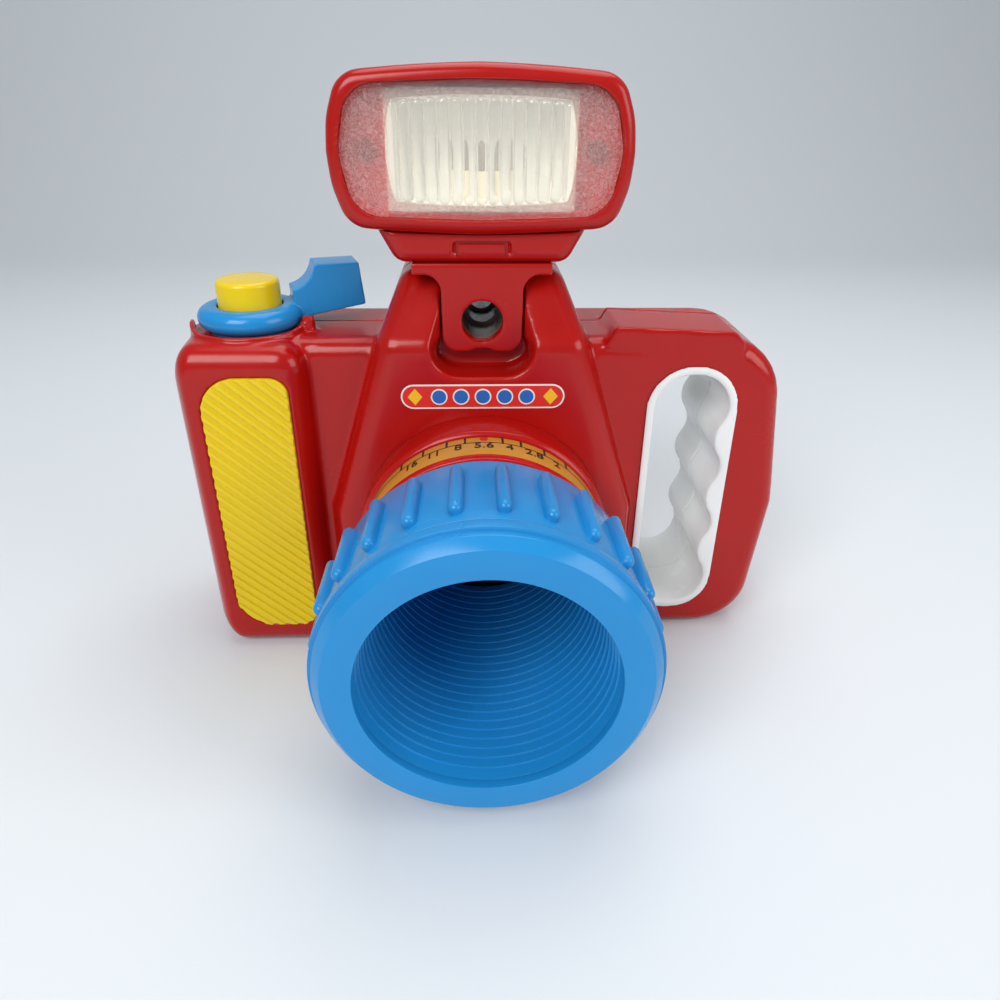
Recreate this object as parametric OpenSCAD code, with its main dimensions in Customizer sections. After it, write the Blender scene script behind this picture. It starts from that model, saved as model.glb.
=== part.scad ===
// Toy camera: red moulded body, turning blue lens, flash head, sprung shutter button and wind lever.
// Millimetres. X runs to the handle side, Y to the back, Z up from the table; X = 0 is the lens axis.

/* [Body] */
// Reach of the grip end from the lens axis
body_left = 88; // [84:1:96]
// Reach of the handle bow from the lens axis
body_right = 91; // [89:1:100]
// Height of the deck above the table
body_h = 99; // [97:0.5:104]
// Front face of the body ahead of the origin
body_front = 17; // [16:0.5:19]
// Back face of the body behind the origin
body_back = 22; // [21.5:0.5:26]
// Wall of the red shells
wall = 2.4; // [2:0.1:2.8]
// Rounding along the outer edges of the body
edge_r = 5; // [3:0.5:6]
// Corner radius at the grip end
grip_corner_r = 11; // [8:0.5:14]
// Corner radius at the foot of the handle
foot_corner_r = 17; // [12:0.5:22]
// Radius of the bowed outer side of the handle
bow_r = 35; // [30:1:45]
// Height of the widest point of the handle bow
bow_z = 46; // [40:1:50]
// How far the foot of the handle is drawn in from the bow
foot_inset = 2.5; // [1:0.5:5]
// How far the shoulder of the handle is drawn in from the bow
shoulder_inset = 4; // [2:0.5:6]
// Radius of the shoulder over the handle
shoulder_r = 20; // [14:1:24]
// Where the two shells meet, behind the origin
parting_y = 3; // [2:0.5:5]

/* [Grip] */
// Front of the grip bulge ahead of the origin
grip_front = 24; // [22:0.5:26]
// Width of the grip bulge
grip_w = 39.5; // [38:0.5:41]
// Corner radius of the bulge beside the lens
grip_inner_r = 7; // [6.5:0.5:9]
// Rounding along the edges of the bulge
grip_edge_r = 6; // [4:0.5:6]
// Width of the ribbed panel
panel_w = 24.3; // [20:0.1:26]
// Height of the ribbed panel
panel_h = 82.3; // [70:0.1:84]
// Centre of the panel from the lens axis
panel_x = 65.25; // [64:0.25:67]
// Centre height of the panel
panel_z = 49.5; // [48:0.5:52]
// Corner radius of the panel on its outer side
panel_outer_r = 10.5; // [6:0.5:11]
// Corner radius of the panel on its inner side
panel_inner_r = 5; // [3:0.5:8]
// Thickness of the panel under its ribs
panel_t = 1.2; // [1:0.1:1.4]
// Depth of the seat that the panel lies in
panel_seat = 1.2; // [0.8:0.1:1.4]
// Spacing of the slanting ribs
rib_pitch = 2.6; // [2:0.1:4]
// Height of the slanting ribs
rib_h = 0.5; // [0.3:0.1:0.8]
// Slope of the ribs below level, in degrees
rib_angle = 42; // [30:1:48]

/* [Handle] */
// Inner end of the liner rim, from the lens axis
rim_left = 47.3; // [47:0.1:50]
// Outer end of the liner rim, from the lens axis
rim_right = 74; // [70:0.5:76]
// Foot of the liner rim above the table
rim_low = 8; // [7:0.5:12]
// Top of the liner rim below the deck
rim_drop = 7.7; // [7:0.1:13]
// Corner radius of the rim at its top
rim_top_r = 13; // [10:0.5:13]
// Corner radius of the rim at its foot
rim_low_r = 12; // [8:0.5:13]
// Width of the liner rim seen from the front
rim_w = 2.4; // [2:0.1:3]
// How far the rim stands proud of the red shell
rim_proud = 0.8; // [0.5:0.1:1.2]
// Wall of the liner behind its rim
liner_wall = 1.6; // [1.2:0.1:1.8]
// Spacing of the finger grooves
finger_pitch = 19.3; // [17:0.1:20]
// Radius of the bumps between the finger grooves
bump_r = 9; // [7:0.5:10]
// How far the bumps stand into the handle opening
bump_h = 3; // [2:0.25:4]

/* [Top block] */
// Inner end of the raised block, from the lens axis
block_left = 34; // [33:0.5:38]
// Outer end of the raised block, from the lens axis
block_right = 73.6; // [66:0.2:76]
// Rise of the raised block over the deck, at its inner end
block_rise = 3.4; // [2.5:0.1:7]
// Fall of the block's top towards its outer end
block_drop = 1.6; // [0:0.1:2]
// Slant of the block's two ends
block_slant = 3; // [2:0.25:5]
// Back end of the block behind the origin
block_back = 6; // [4:0.5:12]

/* [Hump] */
// Front of the hump ahead of the origin
hump_front = 24; // [22:0.5:26]
// How far the hump's base reaches past the lens collar on each side
hump_side = 9; // [8:0.5:11]
// Height at which the hump starts to narrow
hump_base_h = 47; // [44:1:50]
// Bend in the hump's front below the deck
hump_bend_drop = 2; // [0:0.5:4]
// Width of the hump at the bend
hump_bend_w = 58.6; // [54:0.2:62]
// Rise of the hump over the deck
hump_rise = 17.4; // [15:0.2:20]
// Width of the hump at its top
hump_top_w = 47.2; // [44:0.2:50]
// Front of the hump's top ahead of the origin
hump_top_front = 13; // [11:0.5:15]
// Rounding of the hump's edges
hump_r = 6; // [4:0.5:7]
// Width of the pocket round the viewfinder block
pocket_w = 28; // [26:0.5:30]
// Foot of the pocket below the deck
pocket_drop = 8.4; // [7:0.2:10]
// Floor of the pocket ahead of the origin
pocket_floor = 12; // [11:0.5:13]
// Corner radius of the pocket's foot
pocket_r = 8; // [5:0.5:9]

/* [Viewfinder] */
// Front of the viewfinder block ahead of the origin
finder_front = 17; // [15:0.5:18]
// Width of the viewfinder block
finder_w = 22; // [20:0.5:24]
// Foot of the viewfinder block below the deck
finder_drop = 3.3; // [2:0.1:4]
// Rise of the viewfinder axis over the deck
finder_rise = 5; // [4.5:0.1:6]
// Radius of the viewfinder hole
finder_r = 5.6; // [4.8:0.1:6]
// Drop in radius at each step of the viewfinder tube
finder_step = 1; // [0.6:0.1:1.2]
// Wall of the viewfinder tube at its widest step
finder_tube_wall = 1; // [0.8:0.1:1.5]
// Width of the neck under the flash
neck_w = 37.2; // [34:0.2:40]
// Height of the neck over the hump
neck_h = 2.9; // [2:0.1:4]
// Back of the neck behind the origin
neck_back = 8; // [6:0.5:10]
// Radius of the eyepiece surround
eyepiece_r = 9; // [8:0.5:11]
// How far the eyepiece stands out at the back
eyepiece_t = 3; // [2:0.5:5]
// Radius of the clear eyepiece window
window_r = 5; // [4:0.25:6]
// Thickness of the clear eyepiece window
window_t = 1.5; // [1:0.1:2]

/* [Flash] */
// Distance between the two flash screws
flash_screw_span = 57.6; // [52:0.2:64]
// Rim of the bezel beside the clear lens
bezel_rim = 3.2; // [2.5:0.1:4]
// Height of the flash bezel
flash_h = 38.4; // [36:0.2:41]
// Front of the bezel ahead of the origin
flash_front = 20; // [19:0.5:22]
// Depth of the bezel
bezel_d = 11; // [10:0.5:12]
// Back of the flash housing behind the origin
flash_back = 14; // [12:0.5:18]
// Wall of the flash pieces
flash_wall = 2.2; // [1.8:0.1:2.6]
// Rounding at the back of the flash housing
flash_back_r = 6; // [4:0.5:6.5]
// Rounding along the bezel's front edge
bezel_edge_r = 3; // [2:0.25:3]
// How far the clear lens reaches past each flash screw
clear_side = 5.8; // [5:0.1:8]
// Height of the clear lens
clear_h = 31.4; // [30:0.2:32]
// How far the clear lens lies behind the bezel's front
clear_set = 2; // [1.5:0.1:3]
// Thickness of the clear lens
clear_t = 2; // [1.5:0.1:2.5]
// Room between the fluted window and each screw post
flute_side = 1.8; // [1.2:0.1:3]
// Height of the fluted window
flute_h = 24.4; // [22:0.2:26]
// Number of flutes
flute_count = 15; // [10:1:18]
// Radius of one flute
flute_r = 1.7; // [1.6:0.05:2]
// Depth of the reflector box
reflector_d = 13; // [12:0.5:14]
// Wall at the thinnest place of the reflector
reflector_wall = 1.4; // [1:0.1:2]
// Height of the housing's foot under the bezel
foot_h = 7.4; // [6:0.2:9]
// Width of the housing's foot at its top
foot_top_w = 52; // [48:0.5:56]
// Width of the housing's foot at the neck
foot_low_w = 44; // [42:0.5:46]
// Corner radius of the housing's foot
foot_r = 4; // [3.2:0.1:5]
// Width of the snap clip in the housing's foot
clip_w = 14; // [10:0.5:18]
// Height of the snap clip in the housing's foot
clip_h = 3.2; // [2:0.1:4]
// Radius of the bulb
bulb_r = 2.6; // [2:0.1:3]
// Length of the glass bulb
bulb_len = 7; // [6:0.5:8]
// Radius of the bulb holder
holder_r = 3.2; // [3:0.1:4]
// Length of the bulb holder
holder_len = 7.5; // [6:0.5:9]

/* [Lens] */
// Height of the lens axis above the table
lens_z = 43.5; // [43.5:0.25:45]
// Front of the lens ahead of the origin
lens_front = 95; // [92:0.5:98]
// Radius of the red collar
collar_r = 36; // [35.4:0.1:38]
// Length of the red collar
collar_len = 11; // [9:0.5:12]
// Radius of the gold scale ring
scale_r = 34.5; // [34:0.1:35]
// Length of the gold scale ring
scale_len = 11; // [9:0.5:12]
// Radius of the thin retaining ring
retainer_r = 34.9; // [34.8:0.1:36]
// Length of the thin retaining ring
retainer_len = 3; // [2:0.25:4]
// Outer radius of the sleeve that carries the rings
sleeve_r = 33; // [32.8:0.1:33.4]
// Bore of the sleeve that the lens turns in
sleeve_bore_r = 30.5; // [30.2:0.1:30.8]
// How far the sleeve reaches into the barrel
sleeve_reach = 13; // [10:0.5:16]
// Radius of the barrel at its back
barrel_back_r = 38.3; // [37.6:0.1:38.8]
// Outside radius of the neck behind the barrel
barrel_neck_r = 34.4; // [34.2:0.1:34.8]
// Length of the neck behind the barrel
barrel_neck_len = 8.7; // [6:0.1:10]
// Radius of the barrel behind the flange
barrel_front_r = 39.2; // [38.8:0.1:39.4]
// Radius of the flange
flange_r = 40; // [39.5:0.1:40.4]
// Length of the flange
flange_len = 7.5; // [6:0.25:9]
// Length of the flange's back rim
back_rim_len = 3.4; // [2:0.1:4]
// Depth of the groove between the flange's two rims
rim_groove = 1; // [0.5:0.1:1.5]
// Radius of the flange at the front face
face_r = 36.8; // [36:0.1:38]
// Thickness of the front face
face_t = 2.5; // [2:0.1:3]
// Radius of the bore at its mouth
mouth_r = 29.9; // [29:0.1:30.1]
// Length of the plain band inside the mouth
mouth_band = 6; // [4:0.5:8]
// Number of steps inside the bore
step_count = 24; // [16:1:30]
// Drop in radius at each step of the bore
step_drop = 0.2; // [0.1:0.02:0.22]
// Number of grip ribs round the barrel
barrel_ribs = 24; // [20:1:30]
// Turn of the first grip rib off the top, in degrees
barrel_rib_turn = -5.3; // [-9:0.1:9]
// Radius of one grip rib
barrel_rib_r = 1.6; // [1.4:0.1:2]
// Reach of the ribs from the lens axis
barrel_rib_reach = 41.4; // [40.8:0.1:41.6]
// Length of one grip rib
barrel_rib_len = 20; // [16:0.5:24]
// Distance of the ribs behind the flange
barrel_rib_back = 3.9; // [1:0.1:5]

/* [Shutter and lever] */
// Distance of the shutter axis from the lens axis
shutter_x = 65.8; // [65:0.2:67]
// Shutter axis ahead of the origin
shutter_y = 2; // [1:0.5:3]
// Radius of the shutter button
button_r = 8.75; // [8:0.05:9]
// Rise of the button over the deck
button_rise = 13.8; // [11:0.2:16]
// Travel of the button
button_travel = 3; // [2:0.25:3]
// Radius of the lever's round collar
ring_r = 14.8; // [14:0.1:15.2]
// Height of the lever's round collar
ring_h = 6.3; // [5:0.1:7]
// Radius of the hub that turns in the deck
hub_r = 12; // [11.4:0.1:12.4]
// Reach of the lever from its axis
lever_len = 32; // [30:0.1:36]
// Rise of the lever's thumb block over the deck
lever_stand = 17; // [14:0.2:19]
// Thickness of the lever
lever_t = 11; // [8:0.5:12]
// Radius of the sweep up to the thumb block
lever_sweep_r = 8; // [7:0.1:12]
// Angle of the lever at rest, in degrees behind the X direction
lever_angle = 17.5; // [10:0.5:22]
// Height of the lip round the lever over the deck
lip_h = 2.6; // [1.5:0.1:3.5]
// Thickness of the lip round the lever
lip_t = 1.6; // [1.2:0.1:2]
// Radius of the stop stud
stud_r = 1.8; // [1.4:0.1:2]
// Height of the stop stud over the deck
stud_h = 4.2; // [3:0.1:5]

/* [Inside] */
// Radius of the speaker's rim
speaker_r = 25; // [22:0.5:27]
// Depth of the speaker
speaker_d = 18; // [15:0.5:19]
// Radius of the grille plate
grille_r = 34; // [32:0.5:35]
// Thickness of the grille plate
grille_t = 1.6; // [1.2:0.1:2]
// Width of the sound board
board_w = 76; // [60:1:78]
// Height of the sound board
board_h = 56; // [50:1:60]
// Thickness of the sound board
board_t = 1.6; // [1.2:0.1:2]
// Radius of one battery cell
cell_r = 7.25; // [7:0.05:7.25]
// Length of one battery cell
cell_len = 50.5; // [48:0.5:51]
// Wall of the battery box
box_wall = 1.5; // [1.2:0.1:1.8]
// Radius of a case screw's shank
screw_r = 1.4; // [1.2:0.1:1.5]
// Radius of a case screw's head
screw_head_r = 2.7; // [2.4:0.1:2.9]

/* [Hidden] */
$fn = 96;
hull_fn = 32;
// Overrun of every cut
cut = 1;
// Room left between pieces that move past each other
gap = 0.3;
// Room on the radius of a shaft or a fitted pin
fit = 0.1;
// Level that the hump is set out from: the deck, or the room over the grille where the deck is low
hump_base = max(body_h, lens_z + grille_r + gap + wall + pocket_drop);
rim_high = body_h - rim_drop;
block_top = body_h + block_rise;
hump_bend_h = hump_base - hump_bend_drop;
hump_top = hump_base + hump_rise;
pocket_low = hump_base - pocket_drop;
finder_low = hump_base - finder_drop;
finder_z = hump_base + finder_rise;
button_top = body_h + button_rise;
lever_top = body_h + lever_stand;
barrel_bore_r = sleeve_r + gap;

// Corners of the body outline: place along X, place along Z, radius
body_corners = [
    [-body_left + grip_corner_r, grip_corner_r, grip_corner_r],
    [-body_left + grip_corner_r, body_h - grip_corner_r, grip_corner_r],
    [body_right - foot_inset - foot_corner_r, foot_corner_r, foot_corner_r],
    [body_right - bow_r, bow_z, bow_r],
    [body_right - shoulder_inset - shoulder_r, body_h - shoulder_r, shoulder_r]
];
grip_inner_x = -body_left + grip_w;
grip_corners = [
    [-body_left + grip_corner_r, grip_corner_r, grip_corner_r],
    [-body_left + grip_corner_r, body_h - grip_corner_r, grip_corner_r],
    [grip_inner_x - grip_inner_r, grip_inner_r, grip_inner_r],
    [grip_inner_x - grip_inner_r, body_h - grip_inner_r, grip_inner_r]
];
hump_w = 2 * (collar_r + hump_side);
// Centres of the balls that the hump is drawn over, on one side: half width, Y, Z
hump_balls = [
    [hump_w / 2 - hump_r, -hump_front + hump_r, hump_r],
    [hump_w / 2 - hump_r, -hump_front + hump_r, hump_base_h],
    [hump_bend_w / 2 - hump_r, -hump_front + hump_r, hump_bend_h],
    [hump_top_w / 2 - hump_r, -hump_top_front + hump_r, hump_top - hump_r],
    [hump_top_w / 2 - hump_r, body_back - hump_r, hump_top - hump_r],
    [hump_w / 2 - hump_r, body_back - hump_r, hump_base_h],
    [hump_w / 2 - hump_r, body_back - hump_r, hump_r]
];
// Hollows inside the shells
hollow_front = body_front - wall;
hollow_back = body_back - wall;
hollow_left = body_left - wall;
hollow_right = rim_left - liner_wall;
hollow_r = grip_corner_r - wall;
grip_hollow_front = grip_front - panel_seat - wall;
grip_hollow_right = -grip_inner_x + grip_inner_r;
hump_hollow_front = hump_front - wall;
finder_wall_y = -pocket_floor + wall;
hump_hollow_w = hump_top_w - 2 * hump_r;
hump_hollow_top = hump_top - wall;
lens_hollow_high = pocket_low - wall - pocket_r;
hump_lean = (hump_w - hump_bend_w) / 2 / (hump_bend_h - hump_base_h);
lens_hollow_top_x = hump_balls[0][0] - hump_lean * (lens_hollow_high - hump_base_h);
deck_under = body_h - wall;
// Handle
tube_inset = rim_w - liner_wall;
liner_inner_x = rim_right - rim_w;
liner_mid_z = (rim_low + rim_high) / 2;
// Radius of the grooves that run smoothly into the bumps
wave_reach = (pow(bump_h, 2) + pow(finger_pitch / 2, 2)) / (2 * bump_h);
groove_r = wave_reach - bump_r;
// Lens, along Y
collar_front_y = -hump_front - collar_len;
scale_front_y = collar_front_y - scale_len;
retainer_front_y = scale_front_y - retainer_len;
barrel_back_y = retainer_front_y - gap;
sleeve_front_y = barrel_back_y - sleeve_reach;
flange_back_y = -lens_front + flange_len;
tube_front_y = -lens_front + face_t;
snap_t = 2;
snap_front_y = -hump_hollow_front + gap;
tube_back_y = snap_front_y + snap_t;
tube_shoulder_r = sleeve_bore_r + liner_wall;
step_len = (tube_back_y + lens_front - mouth_band) / step_count;
snap_r = sleeve_r + rim_groove / 2;
// Speaker, along Y
grille_front_y = tube_back_y + gap;
grille_back_y = grille_front_y + grille_t;
post_r = 3;
grille_post_at = snap_r + post_r + 2 * gap;
grille_ear_r = 4.8;
slot_w = 3;
slot_pitch = 5.5;
slot_count = 7;
speaker_rim_t = 1;
magnet_share = 0.56;
magnet_len_share = 0.42;
cone_depth_share = 0.4;
cone_t = 0.6;
board_y = grille_back_y + speaker_d + post_r;
board_low = lens_z - board_h / 2;
// Viewfinder and flash
finder_tube_r = finder_r + finder_tube_wall;
neck_top = hump_top + neck_h;
foot_low = neck_top;
flash_z = foot_low + foot_h + flash_h / 2;
flash_post_r = 4;
flute_w = flash_screw_span - 2 * (flash_post_r + flute_side);
clear_w = flash_screw_span + 2 * clear_side;
flash_w = clear_w + 2 * bezel_rim;
flash_corner_r = 7;
flash_side_r = 25;
// Share of half the bezel's width and height that its corner circles reach
flash_corner_share = 0.945;
bezel_back_y = -flash_front + bezel_d;
clear_front_y = -flash_front + clear_set;
clear_back_y = clear_front_y + clear_t;
web_y = bezel_back_y - flash_wall;
ledge_w = 1.4;
reflector_front_y = clear_back_y + gap;
bulb_y = reflector_front_y + reflector_d / 2;
bulb_low = flash_z - flute_h / 2 + holder_len;
// Shutter and lever
deck_ring_low = body_h + gap;
ring_top = deck_ring_low + ring_h;
hub_low = deck_under - gap;
keeper_t = 1.6;
keeper_low = hub_low - keeper_t;
keeper_r = hub_r + liner_wall + cut;
lever_bore_r = button_r + gap + fit;
button_flange_r = lever_bore_r + cut;
button_flange_t = 1.5;
button_flange_top = keeper_low - gap;
button_wall = 2;
button_roof = button_top - 2 * button_wall;
button_edge_r = 1.4;
button_dome_r = 70;
lever_low = deck_ring_low + button_wall;
lever_rise = 2.8;
lever_slant = 1.2;
lip_r = ring_r + gap + cut;
stud_angle = -17;
plate_t = 2;
plate_w = 26;
plate_d = 22;
switch_w = 6;
switch_h = 4;
plunger_r = 1.75;
plunger_h = 1.5;
stem_r = 2;
stem_low = button_flange_top - button_flange_t + button_travel;
plunger_top = stem_low - button_travel - gap;
plate_top = plunger_top - plunger_h - switch_h;
plate_low = plate_top - plate_t;
spring_wire_r = 0.45;
spring_turns = 7;
spring_r = button_r - button_wall - gap - 2 * spring_wire_r;
lever_spring_wire_r = 0.5;
lever_spring_turns = 3;
lever_spring_r = button_flange_r + gap + 2 * lever_spring_wire_r + fit;
coil_rings = 8;
coil_sides = 6;
// Battery box
cell_gap = 0.6;
contact_t = 0.5;
contact_room = 1.6;
box_back_y = hollow_back - gap;
box_d = 2 * cell_r + 2 * cell_gap + box_wall;
box_front_y = box_back_y - box_d;
box_w = 4 * cell_r + 3 * cell_gap + 2 * box_wall;
box_h = cell_len + 2 * contact_room + 2 * box_wall;
leg_h = 5;
box_high = plate_low - leg_h;
box_low = box_high - box_h;
box_left = -shutter_x - box_w / 2;
cell_y = box_front_y + box_wall + cell_gap + cell_r;
cell_xs = [for (s = [-1, 1]) -shutter_x + s * (cell_r + cell_gap / 2)];
door_w = box_w - 2 * box_wall;
door_h = box_h - 2 * box_wall;
door_z = (box_low + box_high) / 2;
door_r = 3;
door_grip_r = 0.8;
door_grip_count = 5;
door_grip_pitch = 2.6;
door_screw_z = door_z + door_h / 2 - 2 * screw_head_r;
nub_r = 2.6;
nub_h = 1.1;
// Case screws: place along X and Z as named sizes of what they stand beside
boss_r = screw_head_r + liner_wall;
boss_stand = boss_r - wall / 2;
screw_recess = 8;
screw_len = 18;
head_t = 1.8;
limb_x = (rim_right + body_right) / 2;
inner_screw_x = grip_inner_x + boss_r / 2;
outer_screw_x = hollow_right - boss_stand;
screw_places = [
    [inner_screw_x, grip_corner_r],
    [inner_screw_x, deck_under - boss_stand],
    [outer_screw_x, grip_corner_r],
    [outer_screw_x, deck_under - boss_stand],
    [limb_x, bow_z + finger_pitch],
    [limb_x, bow_z - finger_pitch]
];

// Front-view outline made solid between two places along Y
module front_prism(y0, y1) {
    translate([0, y1, 0]) rotate([90, 0, 0]) linear_extrude(y1 - y0) children();
}

// Half profile (radius, Y) turned about an axis along Y
module turned_y() {
    rotate([-90, 0, 0]) rotate_extrude() children();
}

// Rod along Y
module rod_y(r, y0, y1) {
    translate([0, y0, 0]) rotate([-90, 0, 0]) cylinder(r = r, h = y1 - y0);
}

// Rectangle with its own radius at each corner: low left, low right, high right, high left
module rounded_rect(x0, z0, x1, z1, radii) {
    places = [[x0, z0, 1, 1], [x1, z0, -1, 1], [x1, z1, -1, -1], [x0, z1, 1, -1]];
    difference() {
        translate([x0, z0]) square([x1 - x0, z1 - z0]);
        for (i = [0 : 3]) {
            p = places[i];
            r = radii[i];
            translate([p[0], p[1]]) scale([p[2], p[3]]) difference() {
                translate([-cut, -cut]) square(r + cut);
                translate([r, r]) circle(r);
            }
        }
    }
}

// Disc along Y with both rims rounded
module puck(x, z, r, y0, y1, e) {
    translate([x, 0, z]) turned_y() intersection() {
        union() {
            translate([0, y0]) square([r - e, y1 - y0]);
            translate([0, y0 + e]) square([r, y1 - y0 - 2 * e]);
            for (y = [y0 + e, y1 - e]) translate([r - e, y]) circle(e);
        }
        translate([0, y0]) square([r, y1 - y0]);
    }
}

// Soft-edged block drawn over discs at its corners
module slab(corners, y0, y1, e) {
    hull() for (c = corners) puck(c[0], c[1], c[2], y0, y1, e, $fn = hull_fn);
}

// Corner and side discs of the flash outline, whose four sides all bow outwards
function flash_corners(w, h) = [
    for (sx = [-1, 1], sz = [-1, 1])
        [sx * (w / 2 * flash_corner_share - flash_corner_r),
         flash_z + sz * (h / 2 * flash_corner_share + flash_wall / 4 - flash_corner_r), flash_corner_r],
    for (sx = [-1, 1]) [sx * (w / 2 - flash_side_r / 2), flash_z, flash_side_r / 2],
    [0, flash_z, h / 2]
];

module flash_outline(w, h) {
    hull() for (c = flash_corners(w, h)) translate([c[0], c[1]]) circle(c[2], $fn = hull_fn);
}

// Helical wire standing on z0
module coil(r, wire_r, turns, z0, z1) {
    count = turns * coil_rings;
    rise = z1 - z0 - 2 * wire_r;
    points = [
        for (i = [0 : count], k = [0 : coil_sides - 1])
            let (a = 360 * i / coil_rings, b = 360 * k / coil_sides, d = r + wire_r * cos(b))
            [d * cos(a), d * sin(a), z0 + wire_r + rise * i / count + wire_r * sin(b)]
    ];
    sides = [
        for (i = [0 : count - 1], k = [0 : coil_sides - 1])
            let (n = (k + 1) % coil_sides, p = i * coil_sides, q = p + coil_sides)
            each [[p + k, q + k, p + n], [p + n, q + k, q + n]]
    ];
    ends = [
        for (k = [1 : coil_sides - 2])
            each [[0, k, k + 1], [count * coil_sides, count * coil_sides + k + 1, count * coil_sides + k]]
    ];
    polyhedron(points, concat(sides, ends));
}

// Pan-head screw along Y, its head facing the front when flip is 1
module screw(x, z, head_y, len, flip) {
    translate([x, head_y, z]) scale([1, flip, 1]) {
        rod_y(screw_head_r, 0, head_t);
        rod_y(screw_r, 0, len);
    }
}

// Outer form of the two shells together
module body_form() {
    slab(body_corners, -body_front, body_back, edge_r);
    slab(grip_corners, -grip_front, 0, grip_edge_r);
    hull() for (s = [-1, 1], b = hump_balls) translate([s * b[0], b[1], b[2]]) sphere(hump_r, $fn = hull_fn);
    front_prism(-body_front, block_back) polygon([
        [block_left, body_h - wall],
        [block_left + block_slant, block_top],
        [block_right - block_slant, block_top - block_drop],
        [block_right, block_top - block_drop - block_slant],
        [block_right, body_h - wall - block_slant]
    ]);
}

// Hollow inside the shells, and the through cuts
module body_hollow() {
    difference() {
        front_prism(-hollow_front, hollow_back)
            rounded_rect(-hollow_left, wall, hollow_right, deck_under, [hollow_r, hollow_r, hollow_r, hollow_r]);
        translate([-pocket_w / 2 - wall, -hollow_front - cut, pocket_low - wall])
            cube([pocket_w + 2 * wall, hollow_front + cut + finder_wall_y, deck_under]);
    }
    front_prism(-grip_hollow_front, 0)
        rounded_rect(-hollow_left, wall, -grip_hollow_right, deck_under, [hollow_r, wall, wall, hollow_r]);
    front_prism(-hump_hollow_front, 0) polygon([
        [-hump_balls[0][0], hump_r],
        [hump_balls[0][0], hump_r],
        [hump_balls[0][0], hump_base_h],
        [lens_hollow_top_x, lens_hollow_high],
        [-lens_hollow_top_x, lens_hollow_high],
        [-hump_balls[0][0], hump_base_h]
    ]);
    translate([-hump_hollow_w / 2, finder_wall_y, deck_under - cut])
        cube([hump_hollow_w, hollow_back - finder_wall_y, hump_hollow_top - deck_under + cut]);
    front_prism(-body_front - cut, body_back + cut) handle_outline(tube_inset - fit);
}

// Outline of the liner, drawn in from its rim
module handle_outline(inset) {
    rounded_rect(
        rim_left + inset, rim_low + inset, rim_right - inset, rim_high - inset,
        [rim_low_r - inset, rim_low_r - inset, rim_top_r - inset, rim_top_r - inset]
    );
}

module panel_outline(grow) {
    rounded_rect(
        -panel_x - panel_w / 2 - grow, panel_z - panel_h / 2 - grow,
        -panel_x + panel_w / 2 + grow, panel_z + panel_h / 2 + grow,
        [panel_outer_r, panel_inner_r, panel_inner_r, panel_outer_r]
    );
}

// Front half of the red body
module front_shell() {
    color("firebrick") difference() {
        union() {
            difference() {
                intersection() {
                    body_form();
                    translate([-2 * body_left, parting_y - 2 * body_left, -body_left])
                        cube([4 * body_left, 2 * body_left, 4 * body_left]);
                }
                body_hollow();
                front_prism(-hump_front - cut, -pocket_floor)
                    rounded_rect(
                        -pocket_w / 2, pocket_low, pocket_w / 2, hump_top + hump_r,
                        [pocket_r, pocket_r, wall, wall]
                    );
                front_prism(-grip_front - cut, -grip_front + panel_seat) panel_outline(fit);
                translate([0, 0, lens_z]) rod_y(sleeve_r + fit, -hump_front - cut, -hollow_front);
                translate([0, 0, finder_z]) rod_y(finder_tube_r + fit, -hump_front, parting_y + cut);
            }
            for (p = screw_places) translate([p[0], 0, p[1]]) rod_y(boss_r, -hollow_front - wall / 2, parting_y);
            grille_posts() rod_y(post_r, -hump_hollow_front - wall / 2, grille_front_y);
            lever_lip();
        }
        for (p = screw_places) translate([p[0], 0, p[1]]) rod_y(screw_r + fit, -hollow_front, parting_y + cut);
        lever_hole();
    }
}

// Rim and stop stud that stand on the deck in front of the lever's collar
module lever_lip() {
    translate([-shutter_x, -shutter_y, 0]) {
        difference() {
            translate([0, 0, deck_under + wall / 2]) cylinder(r = lip_r + lip_t, h = wall / 2 + lip_h);
            translate([0, 0, body_h]) cylinder(r = lip_r, h = lip_h + cut);
            translate([-lip_r - lip_t - cut, -lip_t, body_h])
                cube([2 * (lip_r + lip_t + cut), 2 * (lip_r + lip_t), lip_h + cut]);
            translate([-lip_r - lip_t - cut, shutter_y + parting_y, 0])
                cube([2 * (lip_r + lip_t + cut), lip_r + lip_t + cut, body_h + cut]);
        }
        rotate(stud_angle) translate([lip_r + stud_r, 0, deck_under + wall / 2])
            cylinder(r = stud_r, h = wall / 2 + stud_h);
    }
}

// Hole in the deck that the lever's hub turns in, with room for the keeper below
module lever_hole() {
    translate([-shutter_x, -shutter_y, deck_under - cut])
        cylinder(r = hub_r + fit, h = wall + 2 * cut);
    translate([-shutter_x, -shutter_y, keeper_low - gap])
        cylinder(r = keeper_r + gap, h = deck_under - keeper_low + gap);
}

// Back half of the red body, with the battery opening and the screw holes
module rear_shell() {
    color("firebrick") difference() {
        union() {
            difference() {
                intersection() {
                    body_form();
                    translate([-2 * body_left, parting_y, -body_left])
                        cube([4 * body_left, 2 * body_left, 4 * body_left]);
                }
                body_hollow();
                front_prism(hollow_back - cut, body_back + cut) door_outline(gap);
                translate([0, 0, finder_z]) rod_y(finder_tube_r + fit, parting_y - cut, body_back + cut);
            }
            for (p = screw_places) translate([p[0], 0, p[1]]) rod_y(boss_r, parting_y, hollow_back + wall / 2);
            for (sx = [-1, 1], sz = [-1, 1])
                translate([sx * (board_w / 2 - post_r), 0, lens_z + sz * (board_h / 2 - post_r)])
                    rod_y(post_r, board_y + board_t, hollow_back + wall / 2);
        }
        for (p = screw_places) translate([p[0], 0, p[1]]) {
            rod_y(screw_r + fit, parting_y - cut, body_back + cut);
            rod_y(screw_head_r + fit, body_back - screw_recess, body_back + cut);
        }
        lever_hole();
    }
}

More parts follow.
